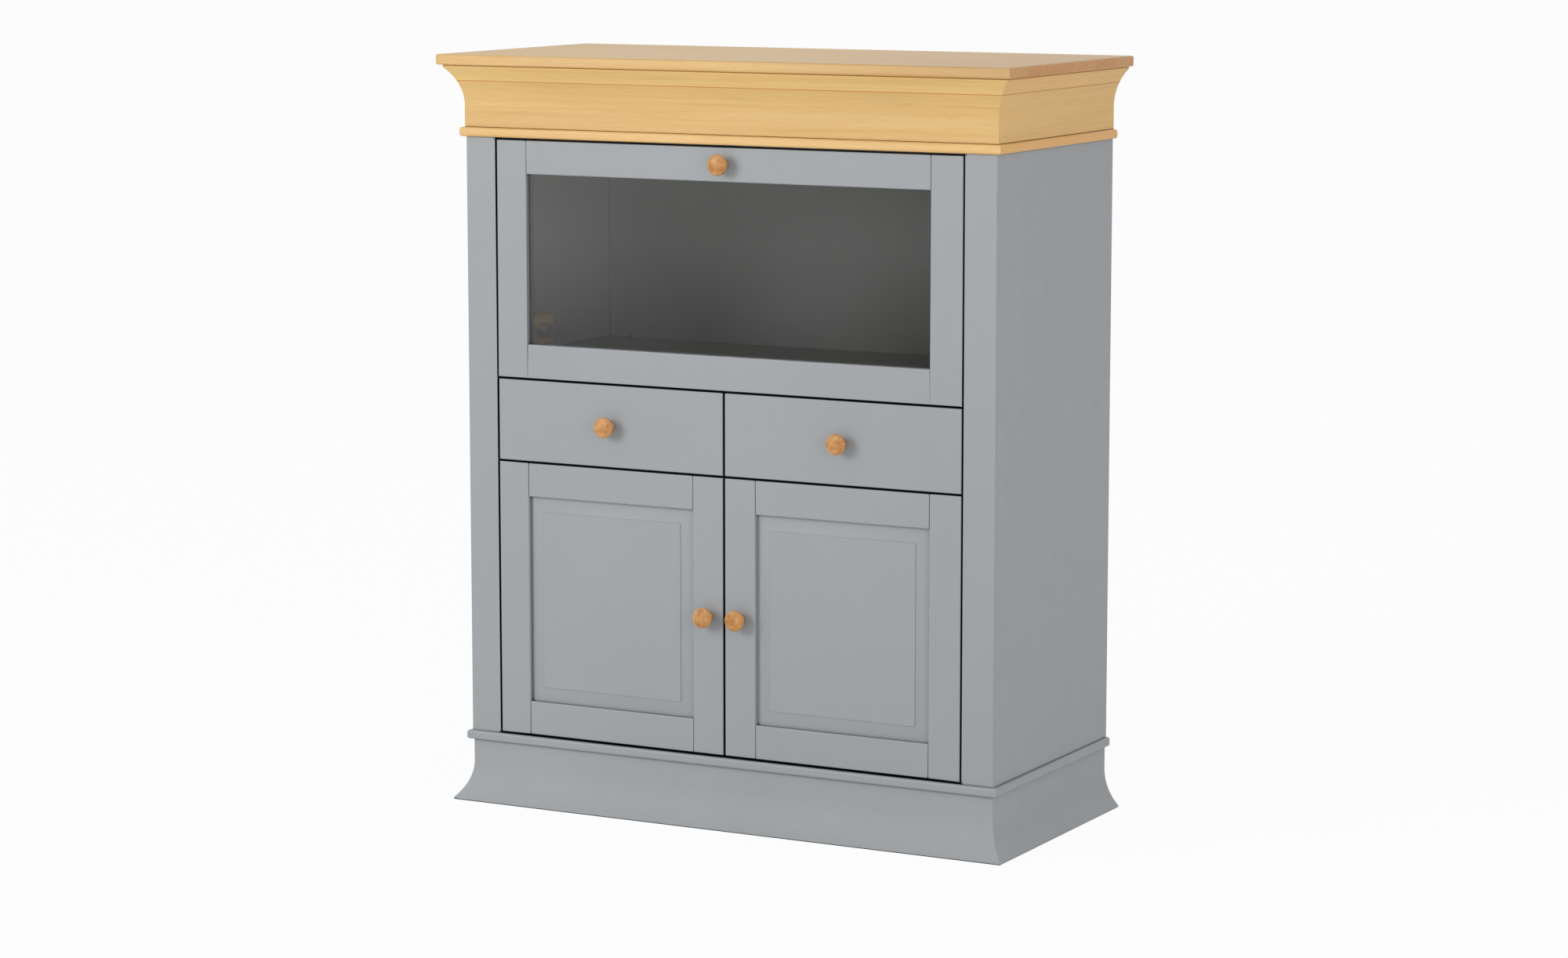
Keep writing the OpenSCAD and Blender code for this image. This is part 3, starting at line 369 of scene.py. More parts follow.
def growth_lines(tree, axis, lines):
    """Growth lines along an axis, from fine streaks, broad tone and pores."""
    scale = along_grain(axis, 2.2, lines)
    streaks = noise(tree, scale, detail=6.0, roughness=0.7, distortion=0.4)
    tone = noise(tree, along_grain(axis, 2.5, 13), detail=2.0)
    pores = noise(tree, along_grain(axis, 30, 1100), detail=2.0)
    return streaks, tone, pores


def end_grain_share(tree, axis):
    """1 where the surface is cut across the grain."""
    normal = step(tree, "ShaderNodeTexCoord").outputs["Normal"]
    parts = step(tree, "ShaderNodeSeparateXYZ", {"Vector": normal}).outputs
    return span(tree, maths(tree, "ABSOLUTE", parts[axis]), 0.6, 0.9, 0, 1)


def stave_tone(tree, axis, width):
    """A tone for each edge-glued stave, and 1 on the thin lines between them."""
    count = maths(tree, "DIVIDE", place_parts(tree)[axis], width)
    stave = maths(tree, "FLOOR", count, 0)
    angle = maths(tree, "ADD", maths(tree, "MULTIPLY", stave, STAVE_TURN), STAVE_PHASE)
    tone = span(tree, maths(tree, "SINE", angle), -1, 1, 0, 1)
    within = maths(tree, "SUBTRACT", count, stave)
    line = maths(tree, "LESS_THAN", within, STAVE_LINE / width)
    return tone, line


def wooden(
    name, axis, pale, mid, deep, end, lines=120, roughness=0.42, gloss_level=0.3,
    glue=None, upper_light_and_tint=(1, 1, 1, 1), staves=None, rings_scale=240, ring_share=0.34,
):
    """Clear-lacquered wood whose grain runs along an axis (0, 1 or 2)."""
    material, tree, shader = new_finish(name, Specular_IOR_Level=gloss_level)
    streaks, tone, pores = growth_lines(tree, axis, lines)
    stops = [(0.28, linear(*deep)), (0.45, linear(*mid)), (0.7, linear(*pale))]
    colour = ramp(tree, streaks, stops)
    broad = ramp(tree, tone, [(0.35, (0.96, 0.95, 0.93, 1)), (0.65, (1.02, 1.02, 1.02, 1))])
    colour = blend_colours(tree, 1.0, colour, broad, "MULTIPLY")
    dark_pores = ramp(tree, pores, [(0.3, (0.86, 0.82, 0.76, 1)), (0.48, (1, 1, 1, 1))])
    colour = blend_colours(tree, PORE_SHARE, colour, dark_pores, "MULTIPLY")
    if staves:
        stave, line = stave_tone(tree, *staves)
        tint = ramp(tree, stave, [(0.0, (0.95, 0.93, 0.91, 1)), (1.0, (0.97, 0.965, 0.95, 1))])
        colour = blend_colours(tree, 1.0, colour, tint, "MULTIPLY")
        line = maths(tree, "MULTIPLY", line, LINE_SHARE)
        colour = blend_colours(tree, line, colour, linear(*deep))
        # Painted shade: the top is multiplied darker and duller towards the right.
        right_shade = span(tree, place_parts(tree)[0], 0.0, TOP_SHADE_TO, 0, 1)
        colour = blend_colours(tree, right_shade, colour, (0.85, 0.82, 0.82, 1), "MULTIPLY")
    height = place_parts(tree)[2]
    # Above the glue line the wood is multiplied by a given colour: on the cornice's front this
    # is painted light that lifts the upper cove, on the moulding's sides a slight warm tint.
    if glue:
        upper = maths(tree, "GREATER_THAN", height, glue)
        colour = blend_colours(tree, upper, colour, upper_light_and_tint, "MULTIPLY")
        line = beside(tree, height, glue, GLUE_LINE / 2)
        joint = maths(tree, "MULTIPLY", line, GLUE_SHARE)
        colour = blend_colours(tree, joint, colour, linear(*end))
    rings = noise(tree, (rings_scale,) * 3, detail=4.0, roughness=0.65)
    share = span(tree, rings, 0.34, 0.66, 0, ring_share)
    cut = blend_colours(tree, share, linear(*end), linear(*mid))
    if staves:
        cut = blend_colours(tree, span(tree, stave, 0.4, 1.0, 0, 0.2), cut, linear(*mid))
    colour = blend_colours(tree, end_grain_share(tree, axis), colour, cut)
    # Painted shade where another surface is close: deep low down, and soft high up, where the
    # cornice meets the top.
    high = maths(tree, "GREATER_THAN", height, SOFT_SHADE_HEIGHT)
    shade = blend_colours(tree, high, PAINTED_SHADE_ON_WOOD, SOFT_PAINTED_SHADE_ON_WOOD)
    gloss = span(tree, tone, 0.3, 0.7, roughness - 0.04, roughness + 0.05)
    coat(tree, shader, painted_joint_shade(tree, colour, shade), gloss)
    relief(tree, shader, maths(tree, "ADD", streaks, pores), GRAIN_DEPTH, 0.6)
    return material


finishes["light_wood"] = wooden("light_wood_lengthways", 0, *LIGHT_WOOD)
light_wood_side = wooden(
    "light_wood_front_to_back", 1, (246, 205, 136), (241, 198, 128), (232, 187, 116), WOOD_END,
    gloss_level=0.2, glue=CORNICE_GLUE_HEIGHT, upper_light_and_tint=(1.02, 0.99, 0.95, 1),
)
lipped_board = wooden(
    "light_wood_lipped", 0, (243, 204, 143), (238, 197, 134), (229, 186, 122), LIPPING
)
# The cornice's wood is painted a step darker than the plain light wood, painted shade that
# takes light off its lit front.
light_wood_cornice = wooden(
    "light_wood_cornice", 0, (230, 193, 131), (225, 186, 122), (217, 175, 110), WOOD_END,
    glue=CORNICE_GLUE_HEIGHT, upper_light_and_tint=(1.12, 1.16, 1.14, 1),
)
finishes["top_wood"] = wooden(
    "light_wood_top", 0, *LIGHT_WOOD, gloss_level=0.4, staves=(1, TOP_STAVE)
)
finishes["knob_wood"] = wooden(
    "turned_knob_wood", 1, (222, 169, 110), (218, 163, 105), (187, 129, 73), (180, 120, 62),
    lines=190, roughness=0.4, rings_scale=95, ring_share=1.0,
)
finishes["runner_wood"], runner_wood_across = [
    wooden(name, axis, *RUNNER_WOOD, lines=80, roughness=0.62)
    for name, axis in (("plain_runner_wood", 1), ("plain_wood_lengthways", 0))
]
print("wood finishes done,", len(bpy.data.materials), "materials so far")

# %% [markdown]
# ## Metal, glass and plastic
# The hinges, pins, stays and screws are zinc-plated steel: bright, slightly blue, with a
# fine drawn texture that breaks up the highlight. The flap holds smoked float glass, whose
# mirror colour is a painted reflection, stronger towards its upper left and nearly black
# low at the right. The catches sit in ivory plastic housings. Steel and plastic get
# painted shade where surfaces are close.

# %% Fittings' finishes
GLASS_TINT = 0.22
GLASS_LEFT, GLASS_RIGHT = -0.4, 0.4
GLASS_LOW, GLASS_HIGH = 0.8, 0.99
GLASS_MIRROR = (0.32, 0.324, 0.318, 1)
DRAWN_DEPTH = 0.00002
PLASTIC_DEPTH = 0.00003


def zinc():
    """Zinc-plated steel, with painted shade where another surface is close."""
    material, tree, shader = new_finish("zinc_plated_steel", Metallic=0.8)
    cloud = noise(tree, (60, 60, 60), detail=3.0)
    colour = ramp(tree, cloud, [(0.3, linear(186, 188, 194)), (0.7, linear(212, 213, 216))])
    drawn = noise(tree, (300, 2200, 2200), detail=2.0)
    gloss = span(tree, drawn, 0.3, 0.7, 0.34, 0.5)
    coat(tree, shader, painted_joint_shade(tree, colour, PAINTED_SHADE_ON_PAINT), gloss)
    relief(tree, shader, drawn, DRAWN_DEPTH)
    return material


def float_glass():
    """Smoked glass: a dark mirror that lets most of the light through, its mirror colour a
    painted reflection.
    """
    material, tree, shader = new_finish(
        "smoked_float_glass", Metallic=1.0, Roughness=0.04, Alpha=GLASS_TINT
    )
    haze = noise(tree, (3, 3, 3), detail=1.0)
    x, _, z = place_parts(tree)
    # Painted reflection: the mirror colour grows towards the upper left and falls to nearly
    # black low at the right.
    to_left = span(tree, x, GLASS_LEFT, GLASS_RIGHT, 0.43, 0)
    upwards = span(tree, z, GLASS_LOW, GLASS_HIGH, 0, 0.36)
    painted_reflection = maths(tree, "ADD", to_left, upwards)
    painted_reflection = maths(tree, "ADD", painted_reflection, span(tree, haze, 0.3, 0.7, 0, 0.12))
    coat(tree, shader, ramp(tree, painted_reflection, [(0, (0, 0, 0, 1)), (1, GLASS_MIRROR)]))
    return material


def ivory_plastic():
    """The catches' moulded housings, with painted shade where another surface is close."""
    material, tree, shader = new_finish("ivory_plastic", Roughness=0.45)
    grains = noise(tree, (900, 900, 900), detail=2.0)
    colour = ramp(tree, grains, [(0.3, linear(224, 220, 206)), (0.7, linear(232, 229, 217))])
    coat(tree, shader, painted_joint_shade(tree, colour, PAINTED_SHADE_ON_PAINT))
    relief(tree, shader, grains, PLASTIC_DEPTH)
    return material


finishes["steel"] = zinc()
finishes["glass"] = float_glass()
finishes["magnet_case"] = ivory_plastic()
print("finishes:", sorted(finishes))

# %% [markdown]
# ## Eased edges
# No joiner leaves an arris sharp: sandpaper takes a millimetre off every edge, paint holds
# better there, and light catches it. Where two pieces meet, as a stile and a rail do, the
# two eased arrises make the fine V-line that shows in the photograph. A bevel on a copy of
# each solid does the same. The copy's loose triangles are merged and its flat faces made
# whole first, and only straight outside edges longer than a few millimetres are eased, so
# round holes stay as they are. Edges in a flush joint are left sharp, and on the framed
# fronts so are the mouths of mortises, grooves and rebates.

# %% Ease the edges of a solid
ROUND_STEP = 8 * MM
MERGE = 0.002 * MM
SMOOTH_ANGLE = math.radians(32)
FLAT_ANGLE = math.radians(0.5)
ARRIS_ANGLE = math.radians(50)
ON_PLANE = 0.05 * MM
EASING_STEPS = 3


def lies_at(edge, axis, place):
    """True for an edge that lies at one place along an axis."""
    return all(abs(corner.co[axis] - place) < ON_PLANE for corner in edge.verts)


def outer_arris(edge, shortest, flush):
    """True for a straight outside edge that a joiner would sand."""
    if len(edge.link_faces) != 2 or not edge.is_convex or edge.calc_length() < shortest:
        return False
    if edge.calc_face_angle(0) < ARRIS_ANGLE:
        return False
    return not any(lies_at(edge, axis, place) for axis, place in flush)


def separate_solids(work):
    """Each separate solid in a mesh, as its corners and its box's lowest and highest corner."""
    found, seen = [], set()
    for start in work.verts:
        if start in seen:
            continue
        seen.add(start)
        solid = [start]
        for corner in solid:
            others = {edge.other_vert(corner) for edge in corner.link_edges} - seen
            seen |= others
            solid += others
        places = [[corner.co[axis] for corner in solid] for axis in range(3)]
        box = Vector([min(p) for p in places]), Vector([max(p) for p in places])
        found.append((solid, box))
    return found


def on_outside(edge, box):
    """True for an edge on the front or the back of its solid, or on two of its other sides."""
    sides = [axis for axis in range(3) for end in box if lies_at(edge, axis, end[axis])]
    return 1 in sides or len(sides) > 1


def closed_work(work, name):
    """Ends the work on a mesh and returns it."""
    mesh = bpy.data.meshes.new(name)
    work.to_mesh(mesh)
    work.free()
    return mesh


def plain_mesh(holder):
    """What an object's modifiers make of it, as a plain mesh; the object itself goes."""
    graph = bpy.context.evaluated_depsgraph_get()
    mesh = bpy.data.meshes.new_from_object(holder.evaluated_get(graph))
    bpy.data.objects.remove(holder)
    return mesh


def finish_mesh(work, name):
    """Ends the work on a mesh, smooth but for real edges, with its wide faces kept flat."""
    mesh = closed_work(work, name)
    mesh.polygons.foreach_set("use_smooth", [True] * len(mesh.polygons))
    mesh.set_sharp_from_angle(angle=SMOOTH_ANGLE)
    holder = linked(name + "_start", mesh)
    weights = holder.modifiers.new("wide_faces_lead", "WEIGHTED_NORMAL")
    weights.keep_sharp = True
    return plain_mesh(holder)


def place_piece(name, mesh, material, body, slot, *nodes):
    """Links a finished mesh, gives it its finish, parents it to the body it rides on, and hides
    the solids that it replaces.
    """
    mesh.materials.clear()
    mesh.materials.append(material)
    piece = linked(name, mesh)
    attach(piece, body)
    if nodes:
        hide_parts(*nodes)
    return piece


def merged_copy(mesh):
    """A mesh opened for work, with the corners that share a place made one."""
    work = bmesh.new()
    work.from_mesh(mesh)
    bmesh.ops.remove_doubles(work, verts=work.verts, dist=MERGE)
    return work


def eased(node, radius, material=None, flush=(), shortest=ROUND_STEP, framed=False):
    """A copy of a solid with its outside edges sanded, in the solid's place."""
    work = merged_copy(frame["nodes"][node].data)
    bmesh.ops.dissolve_limit(work, angle_limit=FLAT_ANGLE, verts=work.verts, edges=work.edges)
    arrises = [edge for edge in work.edges if outer_arris(edge, shortest, flush)]
    if framed:
        boxes = {corner: box for solid, box in separate_solids(work) for corner in solid}
        arrises = [edge for edge in arrises if on_outside(edge, boxes[edge.verts[0]])]
    bmesh.ops.bevel(
        work, geom=arrises, offset=radius, segments=EASING_STEPS, profile=0.5, affect="EDGES",
        clamp_overlap=False,
    )
    name, slot = node + "_eased", slot_of[node]
    material = material or finishes[slot]
    return place_piece(name, finish_mesh(work, name), material, body_of[node], slot, node)


print("easing ready")

# %% [markdown]
# ## Carcass and fronts
# The fronts get the widest easing, because hands meet them. The posts and side panels meet
# in a flush joint that is filled before painting, so no easing goes there.

# %% Ease the carcass, the fronts and the boards
FRONT_EASING = 2.2 * MM
CARCASS_EASING = 0.6 * MM
BOARD_EASING = 0.4 * MM
post_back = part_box("left_post")[1].y

for side in ("left", "right"):
    eased(f"{side}_post", CARCASS_EASING, flush=[(1, post_back)])
    eased(f"{side}_side_panel", CARCASS_EASING, flush=[(1, post_back)])
    eased(f"flap_{side}_stile", FRONT_EASING, framed=True)
    for piece in ("door_stiles", "door_rails", "drawer_front"):
        eased(f"{side}_{piece}", FRONT_EASING, framed=True)
    eased(f"{side}_door_panel", CARCASS_EASING)
    eased(f"{side}_drawer_box", CARCASS_EASING)
    eased(f"{side}_drawer_bottom", BOARD_EASING, runner_wood_across)
for node in ("flap_top_rail", "flap_bottom_rail"):
    eased(node, FRONT_EASING, framed=True)
for node, easing, *finish in (
    ("flap_glazing_beads", CARCASS_EASING, paints["bead"]),
    ("bar_deck", CARCASS_EASING, paints["deck"]),
    ("back_panel", CARCASS_EASING, paints["back"]),
    ("drawer_deck", CARCASS_EASING),
    ("drawer_divider", CARCASS_EASING),
    ("shelf", CARCASS_EASING),
    ("packing_blocks", BOARD_EASING),
    ("drawer_runners", CARCASS_EASING),
    ("cornice_rails", BOARD_EASING, runner_wood_across),
    ("plinth_rails", BOARD_EASING, runner_wood_across),
    ("top_slab", BOARD_EASING),
    ("upper_board", BOARD_EASING, lipped_board),
    ("lower_board", BOARD_EASING),
):
    eased(node, easing, *finish)

# %% [markdown]
# ## Fittings
# Pressed and turned steel has small roundings too. The same easing, much finer, makes
# plates, arms, cups and pins catch light along their edges.

# %% Ease the fittings
FITTING_EASING = 0.25 * MM
FITTING_EDGE = 3 * MM

for node, slot in slot_of.items():
    if slot in ("steel", "magnet_case") and "screws" not in node:
        eased(node, FITTING_EASING, shortest=FITTING_EDGE)
pane = frame["nodes"]["flap_glass"].data
pane.materials.clear()
pane.materials.append(finishes["glass"])
print("fittings eased, glass finished")

# %% [markdown]
# ## Geometry Nodes
# A geometry tree is a recipe that Blender runs on a small start mesh. The helpers below
# make a tree with named inputs, end it with real geometry and a finish, and turn its result
# into a plain mesh.

# %% Helpers for geometry trees
def title(label):
    """The name of an input, from its label in code."""
    return label.replace("_", " ").title()


def new_recipe(name, **named_inputs):
    """A geometry tree with named inputs; returns it and its input node's sockets."""
    tree = bpy.data.node_groups.new(name, "GeometryNodeTree")
    tree.interface.new_socket("Geometry", in_out="INPUT", socket_type="NodeSocketGeometry")
    for label, kind in named_inputs.items():
        tree.interface.new_socket(title(label), in_out="INPUT", socket_type="NodeSocket" + kind)
    tree.interface.new_socket("Geometry", in_out="OUTPUT", socket_type="NodeSocketGeometry")
    return tree, step(tree, "NodeGroupInput").outputs


def end_recipe(tree, geometry, material):
    """Ends a recipe: instances made real, material set."""
    real = step(tree, "GeometryNodeRealizeInstances", {0: geometry}).outputs[0]
    inputs = {"Geometry": real, "Material": material}
    coated = step(tree, "GeometryNodeSetMaterial", inputs).outputs[0]
    tree.links.new(coated, step(tree, "NodeGroupOutput").inputs[0])


def run_recipe(tree, name, start_mesh, material, **values):
    """Runs a recipe on a start mesh and returns the result as a plain mesh."""
    holder = linked(name + "_start", start_mesh)
    modifier = holder.modifiers.new("recipe", "NODES")
    modifier.node_group = tree
    given = {title(label): value for label, value in values.items()} | {"Material": material}
    for socket in tree.interface.items_tree:
        if socket.in_out == "INPUT" and socket.name in given:
            modifier[socket.identifier] = given[socket.name]
    work = merged_copy(plain_mesh(holder))
    bmesh.ops.recalc_face_normals(work, faces=work.faces)
    return finish_mesh(work, name)


print("recipes ready")

# %% [markdown]
# ## Mouldings
# The cornice and the plinth are one profile run along a board: a flat face, a hollow curve
# and a small rounded lip. At the corners the lengths are sawn to a mitre, where a point
# that stands out by some distance reaches past the corner by that distance. So the recipe
# extrudes the section and then moves each end's points by how far they stand out.

# %% Recipe of a mitred moulding
def moulding_recipe():
    """Runs a section along x, mitres both ends, then turns the length and sets it in place."""
    tree, given = new_recipe(
        "mitred_moulding", length="Float", start_mitre="Float", end_mitre="Float",
        turn="Vector", place="Vector", material="Material",
    )
    section = given["Geometry"]
    along = step(tree, "ShaderNodeCombineXYZ", {0: 1.0}).outputs[0]
    run = step(tree, "GeometryNodeExtrudeMesh", {
        "Mesh": section, "Offset": along, "Offset Scale": given["Length"], "Individual": False,
    }, mode="FACES")
    back = step(tree, "GeometryNodeFlipFaces", {"Mesh": section}).outputs[0]
    joined = step(tree, "GeometryNodeJoinGeometry")
    tree.links.new(run.outputs["Mesh"], joined.inputs[0])
    tree.links.new(back, joined.inputs[0])
    place = step(tree, "GeometryNodeInputPosition").outputs[0]
    parts = step(tree, "ShaderNodeSeparateXYZ", {0: place}).outputs
    outward = maths(tree, "MULTIPLY", parts[1], -1)
    half = maths(tree, "MULTIPLY", given["Length"], 0.5)
    at_end = maths(tree, "GREATER_THAN", parts[0], half)
    at_start = maths(tree, "SUBTRACT", 1, at_end)
    forward = maths(tree, "MULTIPLY", at_end, given["End Mitre"])
    backward = maths(tree, "MULTIPLY", at_start, given["Start Mitre"])
    reach = maths(tree, "MULTIPLY", outward, maths(tree, "SUBTRACT", forward, backward))
    shift = step(tree, "ShaderNodeCombineXYZ", {0: reach}).outputs[0]
    inputs = {"Geometry": joined.outputs[0], "Offset": shift}
    mitred = step(tree, "GeometryNodeSetPosition", inputs).outputs[0]
    inputs = {"Geometry": mitred, "Translation": given["Place"], "Rotation": given["Turn"]}
    turned = step(tree, "GeometryNodeTransform", inputs).outputs[0]
    end_recipe(tree, turned, given["Material"])
    return tree


mitred_moulding = moulding_recipe()
print("recipe", mitred_moulding.name, "has", len(mitred_moulding.nodes), "nodes")

# %% [markdown]
# The section is drawn the way a moulding knife is ground, in millimetres: how far it stands
# out from the carcass, and the height. The plinth has the same profile upside down.

# %% Sections of the cornice and the plinth
MOULDING_THICK = 23
COVE_RISE = 63
COVE_SWEEP = 25.7
LIP_HIGH = 5
LIP_OUT = 1.3
CORNICE_FACE_OUT = 1
PLINTH_FACE_IN = 2.5
ARRIS = 1.0
COVE_STEPS = 28
LIP_STEPS = 8


def arc(centre, radius, start, stop, steps):
    """Points along an arc, with its angles in degrees."""
    turns = [math.radians(start + (stop - start) * i / steps) for i in range(steps + 1)]
    return [(centre[0] + radius * math.cos(a), centre[1] + radius * math.sin(a)) for a in turns]


def moulding_section(high, face):
    """Outline of the moulding as (stands out, height), starting at the back's low corner."""
    flat = high - COVE_RISE - LIP_HIGH
    cove_radius = (COVE_SWEEP**2 + COVE_RISE**2) / (2 * COVE_SWEEP)
    cove_turn = math.degrees(math.asin(COVE_RISE / cove_radius))
    lip_radius = LIP_HIGH / 2
    lip_centre = (face + COVE_SWEEP + LIP_OUT - lip_radius, high - lip_radius)
    lip_start = -math.degrees(math.acos((face + COVE_SWEEP - lip_centre[0]) / lip_radius))
    outline = [(face - MOULDING_THICK, 0)]
    outline += arc((face - ARRIS, ARRIS), ARRIS, -90, 0, 4)
    outline += arc((face + cove_radius, flat), cove_radius, 180, 180 - cove_turn, COVE_STEPS)
    outline += arc(lip_centre, lip_radius, lip_start, 90, LIP_STEPS)
    outline.append((face - MOULDING_THICK, high))
    return outline


def section_mesh(outline, high, upside_down):
    """The section as one face at x = 0, standing out towards -y, in metres."""
    work = bmesh.new()
    corners = []
    for out, height in outline:
        level = high - height if upside_down else height
        corners.append(work.verts.new((0, -out * MM, level * MM)))
    work.faces.new(corners)
    return closed_work(work, "section")


def swept_mouldings(name, face, upside_down, front_finish, side_finish):
    """The front, left and right lengths of a mitred moulding."""
    low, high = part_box(name + "_front")
    tall = (high.z - low.z) / MM
    outline = moulding_section(tall, face)
    front_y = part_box("left_post")[0].y
    half, back_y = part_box("right_side_panel")[1].xy
    deep = back_y - front_y
    lengths = {
        "front": (2 * half, 1, 1, 0, (-half, front_y, low.z), front_finish),
        "right": (deep, 1, 0, 90, (half, front_y, low.z), side_finish),
        "left": (deep, 0, 1, -90, (-half, back_y, low.z), side_finish),
    }
    for where, (length, start, end, turn, place, finish) in lengths.items():
        node = f"{name}_{where}"
        mesh = run_recipe(
            mitred_moulding, node, section_mesh(outline, tall, upside_down), finish,
            length=length, start_mitre=start, end_mitre=end,
            turn=(0, 0, math.radians(turn)), place=place,
        )
        place_piece(node + "_moulding", mesh, finish, "cabinet", slot_of[node], node)
        print(node, len(mesh.polygons), "faces")


swept_mouldings("cornice", CORNICE_FACE_OUT, False, light_wood_cornice, light_wood_side)
swept_mouldings("plinth", -PLINTH_FACE_IN, True, paints["plinth"], paints["satin"])

# %% [markdown]
# ## Turning on a lathe
# A knob is turned: a template gives its radius at each height. A grid of points wound once
# round the axis is a lathe in Geometry Nodes. One Float Curve holds the template's radius
# and another its height. Both ends run in to the axis, where merging closes them.

# %% The lathe, for use in a recipe
TURNED_MERGE = 1e-4
SEAT = 0.02


def template_curve(tree, share, points):
    """A Float Curve through (share of the way, value) points."""
    node = step(tree, "ShaderNodeFloatCurve", {"Value": share})
    curve = node.mapping.curves[0]
    curve.points[0].location = points[0]
    curve.points[1].location = points[-1]
    for place in points[1:-1]:
        curve.points.new(*place)
    for point in curve.points:
        point.handle_type = "VECTOR"
    node.mapping.update()
    return node.outputs[0]


def lathe(tree, template, rings, sides):
    """Geometry turned about z from (radius, height) points, in their own units."""
    steps = [math.dist(a, b) for a, b in zip(template, template[1:])]
    shares = [sum(steps[:i]) / sum(steps) for i in range(len(template))]
    radii, heights = zip(*template)
    widest, lowest, tall = max(radii), min(heights), max(heights) - min(heights)
    radius_curve = [(s, radius / widest) for s, radius in zip(shares, radii)]
    height_curve = [(s, (height - lowest) / tall) for s, height in zip(shares, heights)]
    grid = step(tree, "GeometryNodeMeshGrid", {
        "Size X": 1.0, "Size Y": 1.0, "Vertices X": rings, "Vertices Y": sides + 1,
    }).outputs["Mesh"]
    place = step(tree, "GeometryNodeInputPosition").outputs[0]
    parts = step(tree, "ShaderNodeSeparateXYZ", {0: place}).outputs
    share = maths(tree, "ADD", parts[0], 0.5)
    turn = maths(tree, "MULTIPLY", parts[1], 2 * math.pi)
    radius = maths(tree, "MULTIPLY", template_curve(tree, share, radius_curve), widest)
    height = maths(tree, "MULTIPLY", template_curve(tree, share, height_curve), tall)
    height = maths(tree, "ADD", height, lowest)
    around = step(tree, "ShaderNodeCombineXYZ", {
        0: maths(tree, "MULTIPLY", radius, maths(tree, "COSINE", turn)),
        1: maths(tree, "MULTIPLY", radius, maths(tree, "SINE", turn)),
        2: height,
    }).outputs[0]
    turned = step(tree, "GeometryNodeSetPosition", {"Geometry": grid, "Position": around})
    inputs = {"Geometry": turned.outputs[0], "Distance": TURNED_MERGE}
    return step(tree, "GeometryNodeMergeByDistance", inputs).outputs[0]


print("lathe ready")

# %% [markdown]
# ## Knobs
# Five turned knobs: a small foot, a slim neck that flares into a flat mushroom head, and a
# face with a shallow dome. The recipe turns one on each point of a start mesh, and here
# every knob has a start mesh of its own, because each is a node of its own.

# %% Turn the knobs
KNOB_TEMPLATE = [
    (0, -14), (3.95, -14), (3.95, SEAT), (9.5, SEAT), (9.5, 1.4), (8.8, 2.2), (8.3, 4.2),
    (8.0, 7.2), (8.4, 10.0), (9.8, 12.6), (12.2, 14.8), (15.2, 16.2), (16.8, 17.2),
    (17.5, 18.6), (17.5, 21.4), (17.1, 22.9), (16.0, 24.3), (14.4, 25.3), (12.0, 26.1),
    (8.6, 26.9), (4.3, 27.5), (0, 27.7),
]
KNOB_RINGS = 90
KNOB_SIDES = 48


def points_mesh(name, places, aims):
    """A start mesh of loose points, each with the direction it faces."""
    mesh = bpy.data.meshes.new(name)
    mesh.from_pydata([tuple(place) for place in places], [], [])
    facing = mesh.attributes.new("facing", "FLOAT_VECTOR", "POINT")
    for value, aim in zip(facing.data, aims):
        value.vector = aim
    return mesh


def on_points_recipe(name, template, rings, sides, recess=None):
    """A turned shape on every point, facing the way that the point says."""
    tree, given = new_recipe(name, size="Float", spin="Float", seed="Int", material="Material")
    shape = lathe(tree, template, rings, sides)
    if recess:
        shape = recess(tree, shape)
    aim = step(
        tree, "GeometryNodeInputNamedAttribute", {"Name": "facing"}, data_type="FLOAT_VECTOR"
    ).outputs[0]
    turn = step(tree, "FunctionNodeAlignRotationToVector", {"Vector": aim}, axis="Z").outputs[0]
    placed = step(tree, "GeometryNodeInstanceOnPoints", {
        "Points": given["Geometry"], "Instance": shape, "Rotation": turn,
    }).outputs[0]
    inputs = {2: 0.0, 3: given["Spin"], "Seed": given["Seed"]}
    angle = step(tree, "FunctionNodeRandomValue", inputs, data_type="FLOAT").outputs[1]
    spin = step(tree, "ShaderNodeCombineXYZ", {2: angle}).outputs[0]
    spun = step(tree, "GeometryNodeRotateInstances", {"Instances": placed, "Rotation": spin})
    inputs = {"Instances": spun.outputs[0], "Scale": given["Size"]}
    sized = step(tree, "GeometryNodeScaleInstances", inputs).outputs[0]
    end_recipe(tree, sized, given["Material"])
    return tree


turned_knob = on_points_recipe("turned_knob", KNOB_TEMPLATE, KNOB_RINGS, KNOB_SIDES)
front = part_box("left_post")[0].y
for node in [name for name in slot_of if name.endswith("_knob")]:
    low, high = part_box(node)
    seat = (low + high) / 2
    seat.y = front
    mesh = run_recipe(
        turned_knob, node, points_mesh(node, [seat], [(0, -1, 0)]), finishes["knob_wood"],
        size=MM, spin=0.0, seed=1,
    )
    place_piece(node + "_turned", mesh, finishes["knob_wood"], body_of[node], "knob_wood", node)
    print(node, len(mesh.polygons), "faces")

# %% [markdown]
# ## Screws
# Every fitting is held by pan-head screws with a cross recess. The same lathe turns one
# screw, a Boolean cuts the cross, and the recipe sets a copy on each point. A fixed seed
# turns each cross its own way, because nobody lines them up.

# %% Recipe of a cross-head screw
HEAD_RADIUS = 3.4
HEAD_RISE = 1.9
SHANK_RADIUS = 1.7
SHANK_LONG = 14
CROSS_LONG = 3.8
CROSS_WIDE = 0.85
CROSS_DEEP = 1.3
SCREW_RINGS = 18
SCREW_SIDES = 16

